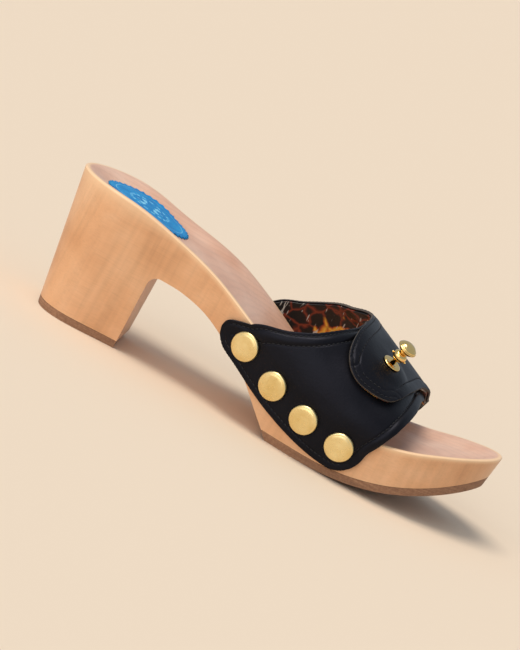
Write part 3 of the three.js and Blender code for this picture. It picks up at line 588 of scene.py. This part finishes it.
band_rear = curve_through([
    (-band_drop, band_back), (rear_start, band_back), (rear_start + 5, band_back + 2), (2, band_back + 15),
    (12.6, band_back + 29.3), (27, band_back + 42), (50, band_back + 52.6), (crest_q, band_back + 54.8),
])
band_fore = curve_through([
    (-band_drop, band_front), (fore_start, band_front + 0.2), (0.3, band_front + 4.4), (8.7, band_front + 7),
    (15, band_front + 8.1), (33, band_front + 9.3), (51, band_front + 9.2), (crest_q, band_front + 7.8),
])
tab_outline_x = curve_through([(a, tab_back + x) for a, x in (
    (0, 0), (0.08, 0.8), (0.18, 2.4), (0.28, 5.1), (0.38, 8.9), (0.5, 14), (0.62, 20.5), (0.73, 26.4),
    (0.83, 30.4), (0.92, 33), (1, 34.6))])
tab_outline_q = curve_through([(a, tab_tip + q) for a, q in (
    (0, 25), (0.08, 15.5), (0.18, 8.9), (0.28, 4.4), (0.38, 1.4), (0.5, 0), (0.62, 0.9), (0.73, 3),
    (0.83, 6.8), (0.92, 16), (1, 30))])


def mirrored(q):
    return np.where(q > crest_q, 2 * crest_q - q, q)


def rear_edge(side, q):
    up = mirrored(q)
    return band_rear(up) - (medial_bow * np.sin(np.pi * np.clip(up / bow_end, 0, 1)) if side > 0 else 0)


def fore_edge(side, q):
    """The front edge. The medial band's is cut back on its way up to the tab."""
    up = mirrored(q)
    return band_fore(up) - (tab_front_cut * smooth(2 * up / crest_q - 1) if side > 0 else 0)


def nailed_edge(count=120):
    """The edge along the wall as [x, q]: it drops a little towards the toe. Both its corners are round."""
    turn = np.linspace(0, np.pi / 2, count // 4)
    rear = np.stack([band_back + rear_corner * (1 - np.cos(turn)), rear_corner * (1 - np.sin(turn))], -1)
    front = np.stack([band_front - front_corner * (1 - np.cos(turn)), front_corner * (1 - np.sin(turn))], -1)
    line = np.concatenate([rear, front[::-1]])
    line[:, 1] -= band_drop + drop_gain * (line[:, 0] - band_back) / (band_front - band_back)
    return line


def even_loop(loop, spacing=0.25, soften=1.2):
    """A closed line's points spread evenly and softened by a Gaussian, so that its corners have a radius."""
    closed = np.concatenate([loop, loop[:1]])
    run = np.concatenate([[0], np.cumsum(np.linalg.norm(np.diff(closed, axis=0), axis=1))])
    keep = np.concatenate([[True], np.diff(run) > 1e-9])
    at = np.linspace(0, run[-1], int(run[-1] / spacing), endpoint=False)
    even = np.stack([np.interp(at, run[keep], closed[keep, i]) for i in (0, 1)], -1)
    steps = np.arange(-20, 21)
    weights = np.exp(-0.5 * (steps * spacing / soften) ** 2)
    return sum(w * np.roll(even, s, axis=0) for s, w in zip(steps, weights / weights.sum()))


def nearest(loop, corner):
    return int(np.argmin(np.linalg.norm(loop - corner, axis=1)))


def resample(loop, start, end, count):
    """count steps along the loop from one index to another, without the last point."""
    span = (end - start) % len(loop)
    at = (start + np.arange(count) * span / count) % len(loop)
    low = at.astype(int)
    return mix(loop[low], loop[(low + 1) % len(loop)], (at - low)[:, None])


lateral_top = lateral_end - 7
share = np.linspace(0, 1, 60)
top_share = (1 - np.cos(np.pi * share)) / 2
top_q = lateral_end - 7 * np.abs(2 * share - 1) ** 4
side_q = np.linspace(rear_start, lateral_top, 160)
fore_q = np.linspace(fore_start, lateral_top, 160)
lateral_loop = even_loop(np.concatenate([
    nailed_edge(),
    np.stack([fore_edge(-1, fore_q), fore_q], -1),
    np.stack([mix(fore_edge(-1, top_q), rear_edge(-1, top_q), top_share), top_q], -1),
    np.stack([rear_edge(-1, side_q), side_q], -1)[::-1],
]))
low_rear = (band_back + 0.3 * rear_corner, 0.3 * rear_corner - band_drop)
low_fore = (band_front - 0.3 * front_corner, 0.3 * front_corner - band_drop - drop_gain)
lateral_corners = [nearest(lateral_loop, spot) for spot in (
    low_rear, low_fore, (fore_edge(-1, 73.0), 74.5), (rear_edge(-1, 73.0), 74.5))]

tab_share = np.linspace(1, 0, 160)
tab_line = np.stack([tab_outline_x(tab_share), 2 * crest_q - tab_outline_q(tab_share)], -1)
side_q = np.linspace(rear_start, crest_q, 160)
fore_q = np.linspace(fore_start, crest_q, 160)
strap_loop = even_loop(np.concatenate([
    nailed_edge(),
    np.stack([fore_edge(1, fore_q), fore_q], -1),
    tab_line,
    np.stack([rear_edge(1, side_q), side_q], -1)[::-1],
]))
strap_corners = [nearest(strap_loop, spot) for spot in (
    low_rear, low_fore,
    tab_line[nearest(tab_share[:, None], [0.86])], tab_line[nearest(tab_share[:, None], [0.2])])]
counts = {"lateral": (110, 130), "strap": (110, 170)}
ring_depths = np.array([0, 0.12, 0.3, 0.55, 0.85, 1.2, 1.45, 1.65, 1.85, 2.05, 2.3, 2.7, 3.15, 3.65, 4.2])


def inward(loop):
    """The way in from each point of a closed line that runs anticlockwise."""
    along = np.roll(loop, -3, axis=0) - np.roll(loop, 3, axis=0)
    normal = np.stack([-along[:, 1], along[:, 0]], -1)
    return normal / np.linalg.norm(normal, axis=1, keepdims=True)


def sheet_plan(loop, corners, across, up, depths=ring_depths):
    """A sheet's points in its own plane: rings parallel to its edge, then a grid blended from the last
    ring's four sides. Returns the points, the faces, and how many points each ring has."""
    marks = list(zip(corners, corners[1:] + corners[:1]))
    sizes = (across, up, across, up)
    edge = np.concatenate([resample(loop, a, b, n) for (a, b), n in zip(marks, sizes)])
    way = np.concatenate([resample(inward(loop), a, b, n) for (a, b), n in zip(marks, sizes)])
    rings = edge + way * np.asarray(depths)[:, None, None]
    n = len(edge)
    last = rings[-1]
    bottom, right = last[:across + 1], last[across:across + up + 1]
    far = last[across + up:2 * across + up + 1][::-1]
    left = np.concatenate([last[2 * across + up:], last[:1]])[::-1]
    u, v = np.linspace(0, 1, across + 1)[:, None], np.linspace(0, 1, up + 1)[:, None, None]
    patch = (mix(bottom, far, v) + mix(left[:, None], right[:, None], u)
             - mix(mix(bottom[0], bottom[-1], u), mix(far[0], far[-1], u), v))
    start = len(depths) * n
    index = start + np.arange((up + 1) * (across + 1)).reshape(up + 1, across + 1)
    ring = start - n + np.arange(n)
    index[0], index[:, -1] = ring[:across + 1], ring[across:across + up + 1]
    index[-1] = ring[across + up:2 * across + up + 1][::-1]
    index[:, 0] = np.append(ring[2 * across + up:], ring[0])[::-1]
    a, b, c, d = index[:-1, :-1], index[:-1, 1:], index[1:, 1:], index[1:, :-1]
    patch_faces = np.stack([a, b, c, d], -1).reshape(-1, 4)
    faces = np.concatenate([grid_faces(len(depths), n, around=True), patch_faces])
    return np.concatenate([rings.reshape(-1, 2), patch.reshape(-1, 2)]), faces, n


def distance_to(points, line):
    """The shortest way from each point to a line's points, a block at a time."""
    return np.concatenate([
        np.sqrt(((block[:, None] - line) ** 2).sum(-1)).min(1) for block in np.array_split(points, 60)])


def stretch_of(loop, start, end):
    span = (end - start) % len(loop)
    return loop[(start + np.arange(span + 1)) % len(loop)]


nail_x = np.linspace(band_back + 14.9, band_front - 12.3, 4)
nail_drop, cap_radius, cap_height = 9.0, 7.15, 2.1
lock_x, lock_q = tab_back + 20.3, tab_tip + 27.5


def hug(q):
    """How far a band is drawn down onto the wood below the rim."""
    return 0.4 * (1 - smooth((q + 4) / 9))


def climb(q):
    """How far the medial band has climbed over the end of the lateral one."""
    return tab_climb * smooth((q - (2 * crest_q - lateral_end - 18)) / 14)


def groove(distance, place, depth=0.22, width=0.42):
    return -depth * np.exp(-((distance - place) / width) ** 2)


def softness(x, q, phase):
    """The hide's slow unevenness: three crossing waves, a fifth of a millimetre high in all."""
    crossing = 0.1 * np.sin(x / 6.1 + q / 17 + phase) * np.sin(q / 7.3 - x / 23)
    return crossing + 0.07 * np.sin(x / 3.7 - q / 5.1 + phase)


def relief(plan, near, phase, rear_pad, hem_height, strap):
    """The leather's height over its flat: rounded edge, hem, pad, stitched grooves, dimples at the nails."""
    x, q = plan[:, 0], plan[:, 1]
    edge = np.minimum.reduce(list(near.values()))
    height = -0.5 * (1 - np.sqrt(1 - np.clip(1 - edge / 0.5, 0, 1) ** 2))
    hem = np.clip(near["front"] / 4.4, 0, 1)
    fade = smooth((q + 12) / 8) * smooth((near["tip"] - 2) / 8)
    height += hem_height * np.sin(np.pi * hem) ** 0.8 * fade + groove(near["front"], 4.7, 0.3, 0.5) * fade
    pad = np.clip((near["rear"] - 1.5) / 4, 0, 1)
    height += rear_pad * np.sin(np.pi * pad) ** 0.9 * smooth((q + 12) / 10)
    height += groove(near["rear"], 1.5) + groove(near["rear"], 5.6)
    height += groove(near["nailed"], 3.0)
    if strap:
        height += groove(near["tip"], 2.0) + groove(near["tip"], 5.5, 0.18)
    for place in nail_x:
        away = np.hypot(x - place, q + nail_drop)
        around_nail = np.arctan2(q + nail_drop, x - place)
        puckers = 1 + 0.25 * np.cos(5 * around_nail + place)
        height -= 0.35 * np.exp(-((away - cap_radius) / 2.4) ** 2) * puckers
    return height + softness(x, q, phase) * smooth(edge / 6)


def lay_on_form(plan, side, height):
    """Plan points [x, q] to points in the air, height off the form."""
    x, q = plan[:, 0], plan[:, 1]
    return form_point(x, side, q) + form_normal(x, side, q) * height[:, None]


lock_point = form_point(lock_x, -1, lock_q)
lock_axis = form_normal(lock_x, -1, lock_q, 0.5, 0.5) + np.array([-0.12, 0, 0])
lock_axis = lock_axis / np.linalg.norm(lock_axis)
lock_x_axis = np.array([1, 0, 0]) - lock_axis * lock_axis[0]
lock_x_axis = lock_x_axis / np.linalg.norm(lock_x_axis)
lock_frame = np.stack([lock_x_axis, np.cross(lock_axis, lock_x_axis), lock_axis], 1)
rosette_seat, rosette_radius = 7.076, 4.8


def under_rosette(points, outer):
    """Moves the tab's leather up to the rosette, whose stem leans a little."""
    local = (points - lock_point) @ lock_frame
    away = np.hypot(local[:, 0], local[:, 1])
    pull = (1 - smooth((away - rosette_radius) / 9))[:, None]
    target = rosette_seat - (0.05 if outer else 1.3)
    shift = (target - local[:, 2])[:, None] * lock_axis
    close = (abs(local[:, 2] - rosette_seat) < 5)[:, None]
    return points + np.where(close, 0.8 * pull * shift, 0)


def near_edges(loop, corners, points):
    """How far each plan point is from each of the sheet's four edges."""
    marks = zip(("nailed", "front", "tip", "rear"), corners, corners[1:] + corners[:1])
    return {word: distance_to(points, stretch_of(loop, a, b)[::2]) for word, a, b in marks}


def flat_height(side, q):
    """How far a band lies off the form's layers: drawn down at the nails, lifted where the tab overlaps."""
    return (climb(q) if side > 0 else 0) - hug(q)


def band_sheet(name, loop, corners, sizes, side, low, high, edge_shape, materials, lifted=False):
    """A closed sheet over the form, from low to high off it. edge_shape gives its outer face's height over
    that at each plan point, and lifted raises it to the rosette."""
    plan, faces, n = sheet_plan(loop, corners, *sizes)
    base = flat_height(side, plan[:, 1])
    outer = lay_on_form(plan, side, high + base + edge_shape(plan, near_edges(loop, corners, plan)))
    inner = lay_on_form(plan, side, low + base)
    if lifted:
        outer, inner = under_rosette(outer, True), under_rosette(inner, False)
    total = len(plan)
    i = np.arange(n)
    wall = np.stack([i, total + i, total + (i + 1) % n, (i + 1) % n], -1)
    everything = np.concatenate([faces, faces[:, ::-1] + total, wall])
    if side > 0:
        everything = everything[:, ::-1]
    piece = new_piece(name, in_place(np.concatenate([outer, inner])), everything, *materials)
    if len(materials) > 1:
        slots = np.zeros(len(piece.data.polygons), np.int32)
        slots[-n:] = 1
        piece.data.polygons.foreach_set("material_index", slots)
    return piece


cowhide, cowhide_shader = new_material("black cowhide", Roughness=0.42, IOR=1.5, Specular_IOR_Level=0.22,
                                       Specular_Tint=colour("#C6C8E2"))
spot = position(cowhide)
pores = add(cowhide, "TexVoronoi", {"Vector": spot, "Scale": 1100.0}, feature="SMOOTH_F1").outputs[0]
wrinkles = noise(cowhide, spot, 260.0, 5.0, 0.6)
patches = noise(cowhide, spot, 45.0)
black = ramp(cowhide, patches, (0.3, "#09090B"), (0.55, "#0C0C0F"), (0.8, "#111115"))
feed(cowhide, cowhide_shader.inputs["Base Color"], black)
feed(cowhide, cowhide_shader.inputs["Roughness"], remap(cowhide, patches, 0.3, 0.7, 0.36, 0.5))
pore_bump = bump(cowhide, pores, 0.18, 0.0002)
feed(cowhide, cowhide_shader.inputs["Normal"], bump(cowhide, wrinkles, 0.22, 0.0005, Normal=pore_bump))

cut_edge, cut_shader = new_material("cut leather edge", Roughness=0.8, IOR=1.45)
nap_tone = ramp(cut_edge, noise(cut_edge, position(cut_edge), 1800.0), (0.3, "#3A3532"), (0.7, "#5C544D"))
feed(cut_edge, cut_shader.inputs["Base Color"], nap_tone)


def lateral_relief(plan, near):
    return relief(plan, near, 0.4, 0.75, 0.75, False)


def strap_relief(plan, near):
    return relief(plan, near, 2.1, 0.3, 0.25, True)


lateral_band = band_sheet("lateral_band", lateral_loop, lateral_corners, counts["lateral"], -1,
                          leather_low, leather_high, lateral_relief, (cowhide, cut_edge))
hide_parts("lateral_band_leather")
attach(lateral_band, "clog")
strap = band_sheet("medial_band_and_tab", strap_loop, strap_corners, counts["strap"], 1,
                   leather_low, leather_high, strap_relief, (cowhide, cut_edge), lifted=True)
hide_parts("medial_band_leather", "tab_leather")
fold_x = (rear_edge(1, crest_q) + fore_edge(1, crest_q)) / 2
bend_start, bend_end = (tuple(in_place(form_point(fold_x, 1, crest_q + turn))) for turn in (-6, 6))
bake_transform(strap)


# ---- Printed lining ----
# Thin glazed goatskin printed with a tortoiseshell pattern: black cells about 7 mm wide in a net of amber and
# rust, with fine pale scratches. It is glued under each band and cut a little short of its edge.

printed, printed_shader = new_material("printed goatskin", Roughness=0.38, IOR=1.5)
spot = position(printed)
wobble = add(printed, "TexNoise", {"Vector": spot, "Scale": 120.0, "Detail": 2.0}).outputs["Color"]
bend = add(printed, "VectorMath", {0: wobble, 1: (0.006, 0.006, 0.006)}, operation="MULTIPLY").outputs[0]
bent = add(printed, "VectorMath", {0: spot, 1: bend}, operation="ADD").outputs[0]
net = add(printed, "TexVoronoi", {"Vector": bent, "Scale": 130.0}, feature="DISTANCE_TO_EDGE").outputs[0]
net_tone = ramp(printed, net, (0.0, "#7A3018"), (0.05, "#541C0E"), (0.1, "#1C0B08"), (0.14, "#0B0706"),
                (1.0, "#080606"))
amber_tone = ramp(printed, net, (0.0, "#E0B03C"), (0.09, "#D07A22"), (0.18, "#7A2A10"), (0.24, "#0B0706"))
blaze = ramp(printed, noise(printed, spot, 70.0, 2.0), (0.54, 0.0), (0.58, 1.0))
scratch_space = stretched(printed, spot, (900, 120, 150), (0.3, 0.5, 0.7))
scratches = ramp(printed, noise(printed, scratch_space, 1.0, 1.0), (0.66, 0.0), (0.7, 0.85))
cells = layer(printed, blaze, net_tone, amber_tone)
feed(printed, printed_shader.inputs["Base Color"], layer(printed, scratches, cells, colour("#B9B2A8")))

lining_short = 0.5
lining_loops = [loop + inward(loop) * lining_short for loop in (lateral_loop, strap_loop)]


def flat_shape(plan, near):
    return 0 * plan[:, 0]


lateral_lining = band_sheet("lateral_lining", lining_loops[0], lateral_corners, (60, 70), -1, lining_height,
                            leather_low - 0.02, flat_shape, (printed,))
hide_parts("lateral_band_lining")
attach(lateral_lining, "clog")
strap_lining = band_sheet("medial_lining", lining_loops[1], strap_corners, (60, 90), 1, lining_height,
                          leather_low - 0.02, flat_shape, (printed,))
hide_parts("medial_band_lining", "tab_lining")
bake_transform(strap_lining)


# ---- Stitching ----
# Lockstitched rows of bonded black polyester thread, half a millimetre thick, ten stitches to 25 mm. Each
# stitch is a short rounded bar that dips into the leather at both ends.

thread, thread_shader = new_material("bonded thread", Roughness=0.5, IOR=1.52, Specular_IOR_Level=0.3)
thread_shader.inputs["Base Color"].default_value = colour("#16161B")
stitch_pitch, stitch_length, thread_radius = 2.4, 1.9, 0.25
stitch_steps = np.array([-1, -0.85, -0.4, 0, 0.4, 0.85, 1])
stitch_swell = np.array([0, 1, 1, 1, 1, 1, 0])
stitch_dip = np.array([-0.35, -0.02, 0.12, 0.16, 0.12, -0.02, -0.35])


def stitch_rows(name, loop, corners, side, rows, relief_of):
    """Stitches along lines parallel to the sheet's edge. rows gives (first and last corner, inset, skip)."""
    capsules = []
    turn = np.linspace(0, 2 * np.pi, 6, endpoint=False)[:, None]
    radius = thread_radius * stitch_swell[:, None, None]
    for first, last, inset, skip in rows:
        line = stretch_of(loop + inward(loop) * inset, corners[first], corners[last])
        air = lay_on_form(line, side, leather_high + flat_height(side, line[:, 1]))
        run = np.concatenate([[0], np.cumsum(np.linalg.norm(np.diff(air, axis=0), axis=1))])
        centres = np.arange(skip, run[-1] - skip, stitch_pitch)
        sample = (centres[:, None] + stitch_steps * stitch_length / 2).ravel()
        flat = np.stack([np.interp(sample, run, line[:, 0]), np.interp(sample, run, line[:, 1])], -1)
        shape = relief_of(flat, near_edges(loop, corners, flat)) + np.tile(stitch_dip, len(centres))
        spine = lay_on_form(flat, side, leather_high + flat_height(side, flat[:, 1]) + shape)
        if side > 0:
            spine = under_rosette(spine, True)
        spine = spine.reshape(len(centres), -1, 3)
        normal = form_normal(flat[:, 0], side, flat[:, 1]).reshape(spine.shape)
        along = np.gradient(spine, axis=1)
        sideways = np.cross(along / np.linalg.norm(along, axis=-1, keepdims=True), normal)
        ring = (np.cos(turn) * sideways[:, :, None] + np.sin(turn) * normal[:, :, None]) * radius
        capsules.append(spine[:, :, None] + ring)
    points = np.concatenate(capsules)
    one = grid_faces(len(stitch_steps), len(turn), around=True)[:, ::-1]
    faces = one + one.max() * np.arange(len(points))[:, None, None] + np.arange(len(points))[:, None, None]
    return new_piece(name, in_place(points.reshape(-1, 3)), faces.reshape(-1, 4), thread)


lateral_stitches = stitch_rows("lateral_stitching", lateral_loop, lateral_corners, -1, [
    (0, 1, 3.0, 2), (1, 2, 4.7, 9), (3, 0, 1.5, 9), (3, 0, 5.6, 9)], lateral_relief)
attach(lateral_stitches, "clog")
strap_stitches = stitch_rows("strap_stitching", strap_loop, strap_corners, 1, [
    (0, 1, 3.0, 2), (1, 2, 4.7, 9), (3, 0, 1.5, 2), (3, 0, 5.6, 6), (2, 3, 2.0, 2), (2, 3, 5.5, 6)],
    strap_relief)
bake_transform(strap_stitches)


# ---- Capped nails ----
# Eight pressed brass caps, 14 mm wide, each snapped over a steel nail that holds the leather to the wood.
# They are satin with a bevelled rim, lacquered, and have fine handling scuffs.

satin_brass, satin_shader = new_material("satin brass", Metallic=1.0, Roughness=0.32)
spot = position(satin_brass)
scuff = noise(satin_brass, spot, 700.0, 4.0, 1.0)
brass_tone = ramp(satin_brass, noise(satin_brass, spot, 90.0), (0.35, "#E6CC8C"), (0.7, "#F6E3AC"))
feed(satin_brass, satin_shader.inputs["Base Color"], brass_tone)
feed(satin_brass, satin_shader.inputs["Roughness"], remap(satin_brass, scuff, 0.35, 0.7, 0.26, 0.44))
feed(satin_brass, satin_shader.inputs["Normal"], bump(satin_brass, scuff, 0.06, 0.0003))


def turned_piece(name, profile, centre, frame, material, segments=64):
    """A round piece: a profile of (radius, height) turned about the third axis of frame, closed on it."""
    radius, height = np.array(profile, float).T
    angle = np.linspace(0, 2 * np.pi, segments, endpoint=False)
    local = np.stack([radius[:, None] * np.cos(angle), radius[:, None] * np.sin(angle),
                      height[:, None] + 0 * angle], -1)
    faces = grid_faces(len(profile), segments, around=True)
    return new_piece(name, in_place(centre + local @ frame.T), faces, material)


def frame_about(axis):
    """Three unit vectors as columns, the third along axis."""
    first = np.cross([0, 1, 0] if abs(axis[1]) < 0.9 else [1, 0, 0], axis)
    first = first / np.linalg.norm(first)
    return np.stack([first, np.cross(axis, first), axis], 1)


cap_seat = leather_high - 0.55
bevel_turn = np.linspace(0, np.pi / 2, 7)
cap_low = cap_radius - 0.7
cap_profile = np.array(
    [(0, 0.6), (cap_low - 0.1, 0.6), (cap_low, 0), (cap_radius - 0.1, 0), (cap_radius, 0.15),
     (cap_radius, 0.8)]
    + [(cap_radius - 0.8 * (1 - np.cos(t)), 0.8 + 0.9 * np.sin(t)) for t in bevel_turn[1:]]
    + [(cap_radius - 1.2, cap_height - 0.3), (cap_radius - 1.6, cap_height - 0.12),
       (cap_radius - 2.4, cap_height), (2.6, cap_height + 0.12), (2.3, cap_height + 0.08),
       (2.0, cap_height + 0.12), (0, cap_height + 0.15)]) + [0, cap_seat]
for word, side in (("lateral", -1), ("medial", 1)):
    for number, x in enumerate(nail_x, 1):
        cap = turned_piece(f"{word}_cap_{number}", cap_profile, form_point(x, side, -nail_drop),
                           frame_about(form_normal(x, side, -nail_drop)), satin_brass)
        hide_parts(f"{word}_stud_cap_{number}")
        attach(cap, "clog")


# ---- Turn lock ----
# A turned and polished brass knob on a rosette riveted through the tab: a stem, a flattened ball with a cross
# pin, and a wide cap with two fine rings. Its bar locks into a keeper cup let into the lateral band.

polished_brass, polished_shader = new_material("polished brass", Metallic=1.0, Roughness=0.14)
polished_shader.inputs["Base Color"].default_value = colour("#EFCB82")
fingerprints = noise(polished_brass, position(polished_brass), 900.0)
print_rough = remap(polished_brass, fingerprints, 0.3, 0.7, 0.09, 0.2)
feed(polished_brass, polished_shader.inputs["Roughness"], print_rough)

rosette_top = rosette_seat + 1.0
stem_height, ball_half = 2.3, 2.8
ball_centre = rosette_top + stem_height + 2.4
knob_foot = ball_centre + 3.1
stem, ball_radius, knob_radius = 1.1, 3.5, 5.0
rosette_rim = [(0.3, 0), (0, 0.3), (0.1, 0.62), (0.6, 0.85), (1.6, 1.0), (2.1, 0.98), (2.2, 0.86)]
rosette_profile = np.array(
    [(stem + 0.3, -3.3), (stem + 0.9, -3.3), (stem + 0.9, 0)]
    + [(rosette_radius - inset, height) for inset, height in rosette_rim]
    + [(stem + 0.5, 0.9), (stem + 0.3, 0.8), (stem + 0.3, -3.3)]) + [0, rosette_seat]
rosette = turned_piece("rosette", rosette_profile, lock_point, lock_frame, polished_brass)
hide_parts("lock_rosette")
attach(rosette, "tab")


def arc(centre, across, up, start, end, count=16):
    return [(across * np.cos(a), centre + up * np.sin(a)) for a in np.linspace(start, end, count)]


cap_mid = knob_foot + 2.1
dome_radius = knob_radius - 1.3
knob_rings = [(0.75, -0.45), (0.2, -0.3), (0, 0), (0, 0.3), (0.25, 0.55), (0.5, 0.65), (0.45, 0.8),
              (0.55, 1.1), (0.9, 1.4), (1.15, 1.4)]
dome_steps = (1, 0.95, 0.85, 0.7, 0.5, 0.25)
knob_profile = (
    [(0, -0.4), (0.65, -0.4), (0.7, -0.3), (0.7, 1.0), (stem, 1.05), (stem, ball_centre - 2.8),
     (stem + 0.3, ball_centre - 2.65)]
    + arc(ball_centre, ball_radius, ball_half, -1.15, 1.15, 22)
    + [(stem + 0.35, ball_centre + 2.3), (stem + 0.35, knob_foot - 0.4)]
    + arc(cap_mid, knob_radius - 0.7, 2.6, -1.25, -0.25, 12)
    + [(knob_radius - inset, cap_mid + height) for inset, height in knob_rings]
    + [(r * dome_radius, cap_mid + 1.35 + 1.5 * np.sqrt(1 - r * r * 0.96)) for r in dome_steps]
    + [(0, cap_mid + 2.86)])
knob = turned_piece("knob", knob_profile, lock_point, lock_frame, polished_brass)
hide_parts("turn_knob")
pin_height = ball_centre - 0.7
pin_reach, pin_radius = ball_radius + 0.3, 0.6
pin_profile = (
    arc(-pin_reach, pin_radius, pin_radius, -np.pi / 2, 0.95, 12)
    + arc(pin_reach, pin_radius, pin_radius, -0.95, np.pi / 2, 12))
pin_frame = lock_frame[:, [1, 2, 0]]
pin_centre = lock_point + lock_axis * pin_height
cross_pin = turned_piece("cross_pin", pin_profile, pin_centre, pin_frame, polished_brass, 32)
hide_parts("knob_cross_pin")
for piece in (knob, cross_pin):
    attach(piece, "knob")


# ---- Steel and brass inside ----
# Zinc-plated steel nails, washers and the locking bar, and the pressed brass keeper, plain from the works.

zinc_steel, zinc_shader = new_material("zinc-plated steel", Metallic=1.0, Roughness=0.4)
spangle = noise(zinc_steel, position(zinc_steel), 600.0)
zinc_tone = ramp(zinc_steel, spangle, (0.3, "#8E8E8C"), (0.7, "#B4B4B0"))
feed(zinc_steel, zinc_shader.inputs["Base Color"], zinc_tone)
inner_metal = {"lock_keeper": satin_brass, "keeper_ring": zinc_steel, "rosette_washer": zinc_steel,
               "lock_bar": zinc_steel}
inner_metal |= {f"heel_lift_nail_{i}": zinc_steel for i in range(1, 5)}
inner_metal |= {f"{word}_stud_nail_{i}": zinc_steel for word in ("lateral", "medial") for i in range(1, 5)}
for node, metal in inner_metal.items():
    mesh = frame["nodes"][node].data
    mesh.materials.clear()
    mesh.materials.append(metal)


# ---- Camera, floor and light ----
# A table of pale warm paper, lit by an even room, a broad soft light above to the left and a wide weak one
# low in front. The lens is long and stands far off.

scene = bpy.context.scene
azimuth, elevation, roll = np.radians([3.5, 10.8, 28.76])
right = np.array([np.cos(azimuth), np.sin(azimuth), 0])
level = np.array([np.sin(azimuth), -np.cos(azimuth), 0])
back = level * np.cos(elevation) + np.array([0, 0, np.sin(elevation)])
up = np.cross(back, right)
camera_right = np.cos(roll) * right + np.sin(roll) * up
camera_up = np.cos(roll) * up - np.sin(roll) * right
aim = in_place([107.5, -5.0, 40.9])
lens = bpy.data.cameras.new("lens")
lens.lens, lens.sensor_width, lens.clip_end = 952.7, 36, 50
camera = bpy.data.objects.new("camera", lens)
camera_distance = 8.0
stand = np.eye(4)
stand[:3] = np.stack([camera_right, camera_up, back, aim + back * camera_distance], 1)
camera.matrix_world = Matrix(stand.tolist())
scene.collection.objects.link(camera)
scene.camera = camera
scene.view_settings.view_transform = "Standard"

paper, paper_shader = new_material("matt paper", Roughness=0.95, IOR=1.45, Specular_IOR_Level=0.2)
paper_shader.inputs["Base Color"].default_value = colour("#E6D3BC")
floor = new_piece("floor", [(-6, -9, 0), (6, -9, 0), (6, 6, 0), (-6, 6, 0)], [(0, 1, 2, 3)], paper)

world = bpy.data.worlds.new("studio")
world.use_nodes = True
scene.world = world
sky = world.node_tree.nodes["Background"]
sky.inputs["Color"].default_value = (0.88, 1.0, 1.15, 1)
sky.inputs["Strength"].default_value = 0.45
for name, energy, angle, tint, turn in (
        ("key", 1.8, 0.5, (1.09, 1.0, 0.89), (0.2, -0.35, 0)),
        ("fill", 1.15, 1.0, (1.05, 1.0, 0.94), (1.25, 0, -0.4))):
    data = bpy.data.lights.new(name, "SUN")
    data.energy, data.angle, data.color = energy, angle, tint
    light = bpy.data.objects.new(name, data)
    light.rotation_euler = turn
    scene.collection.objects.link(light)
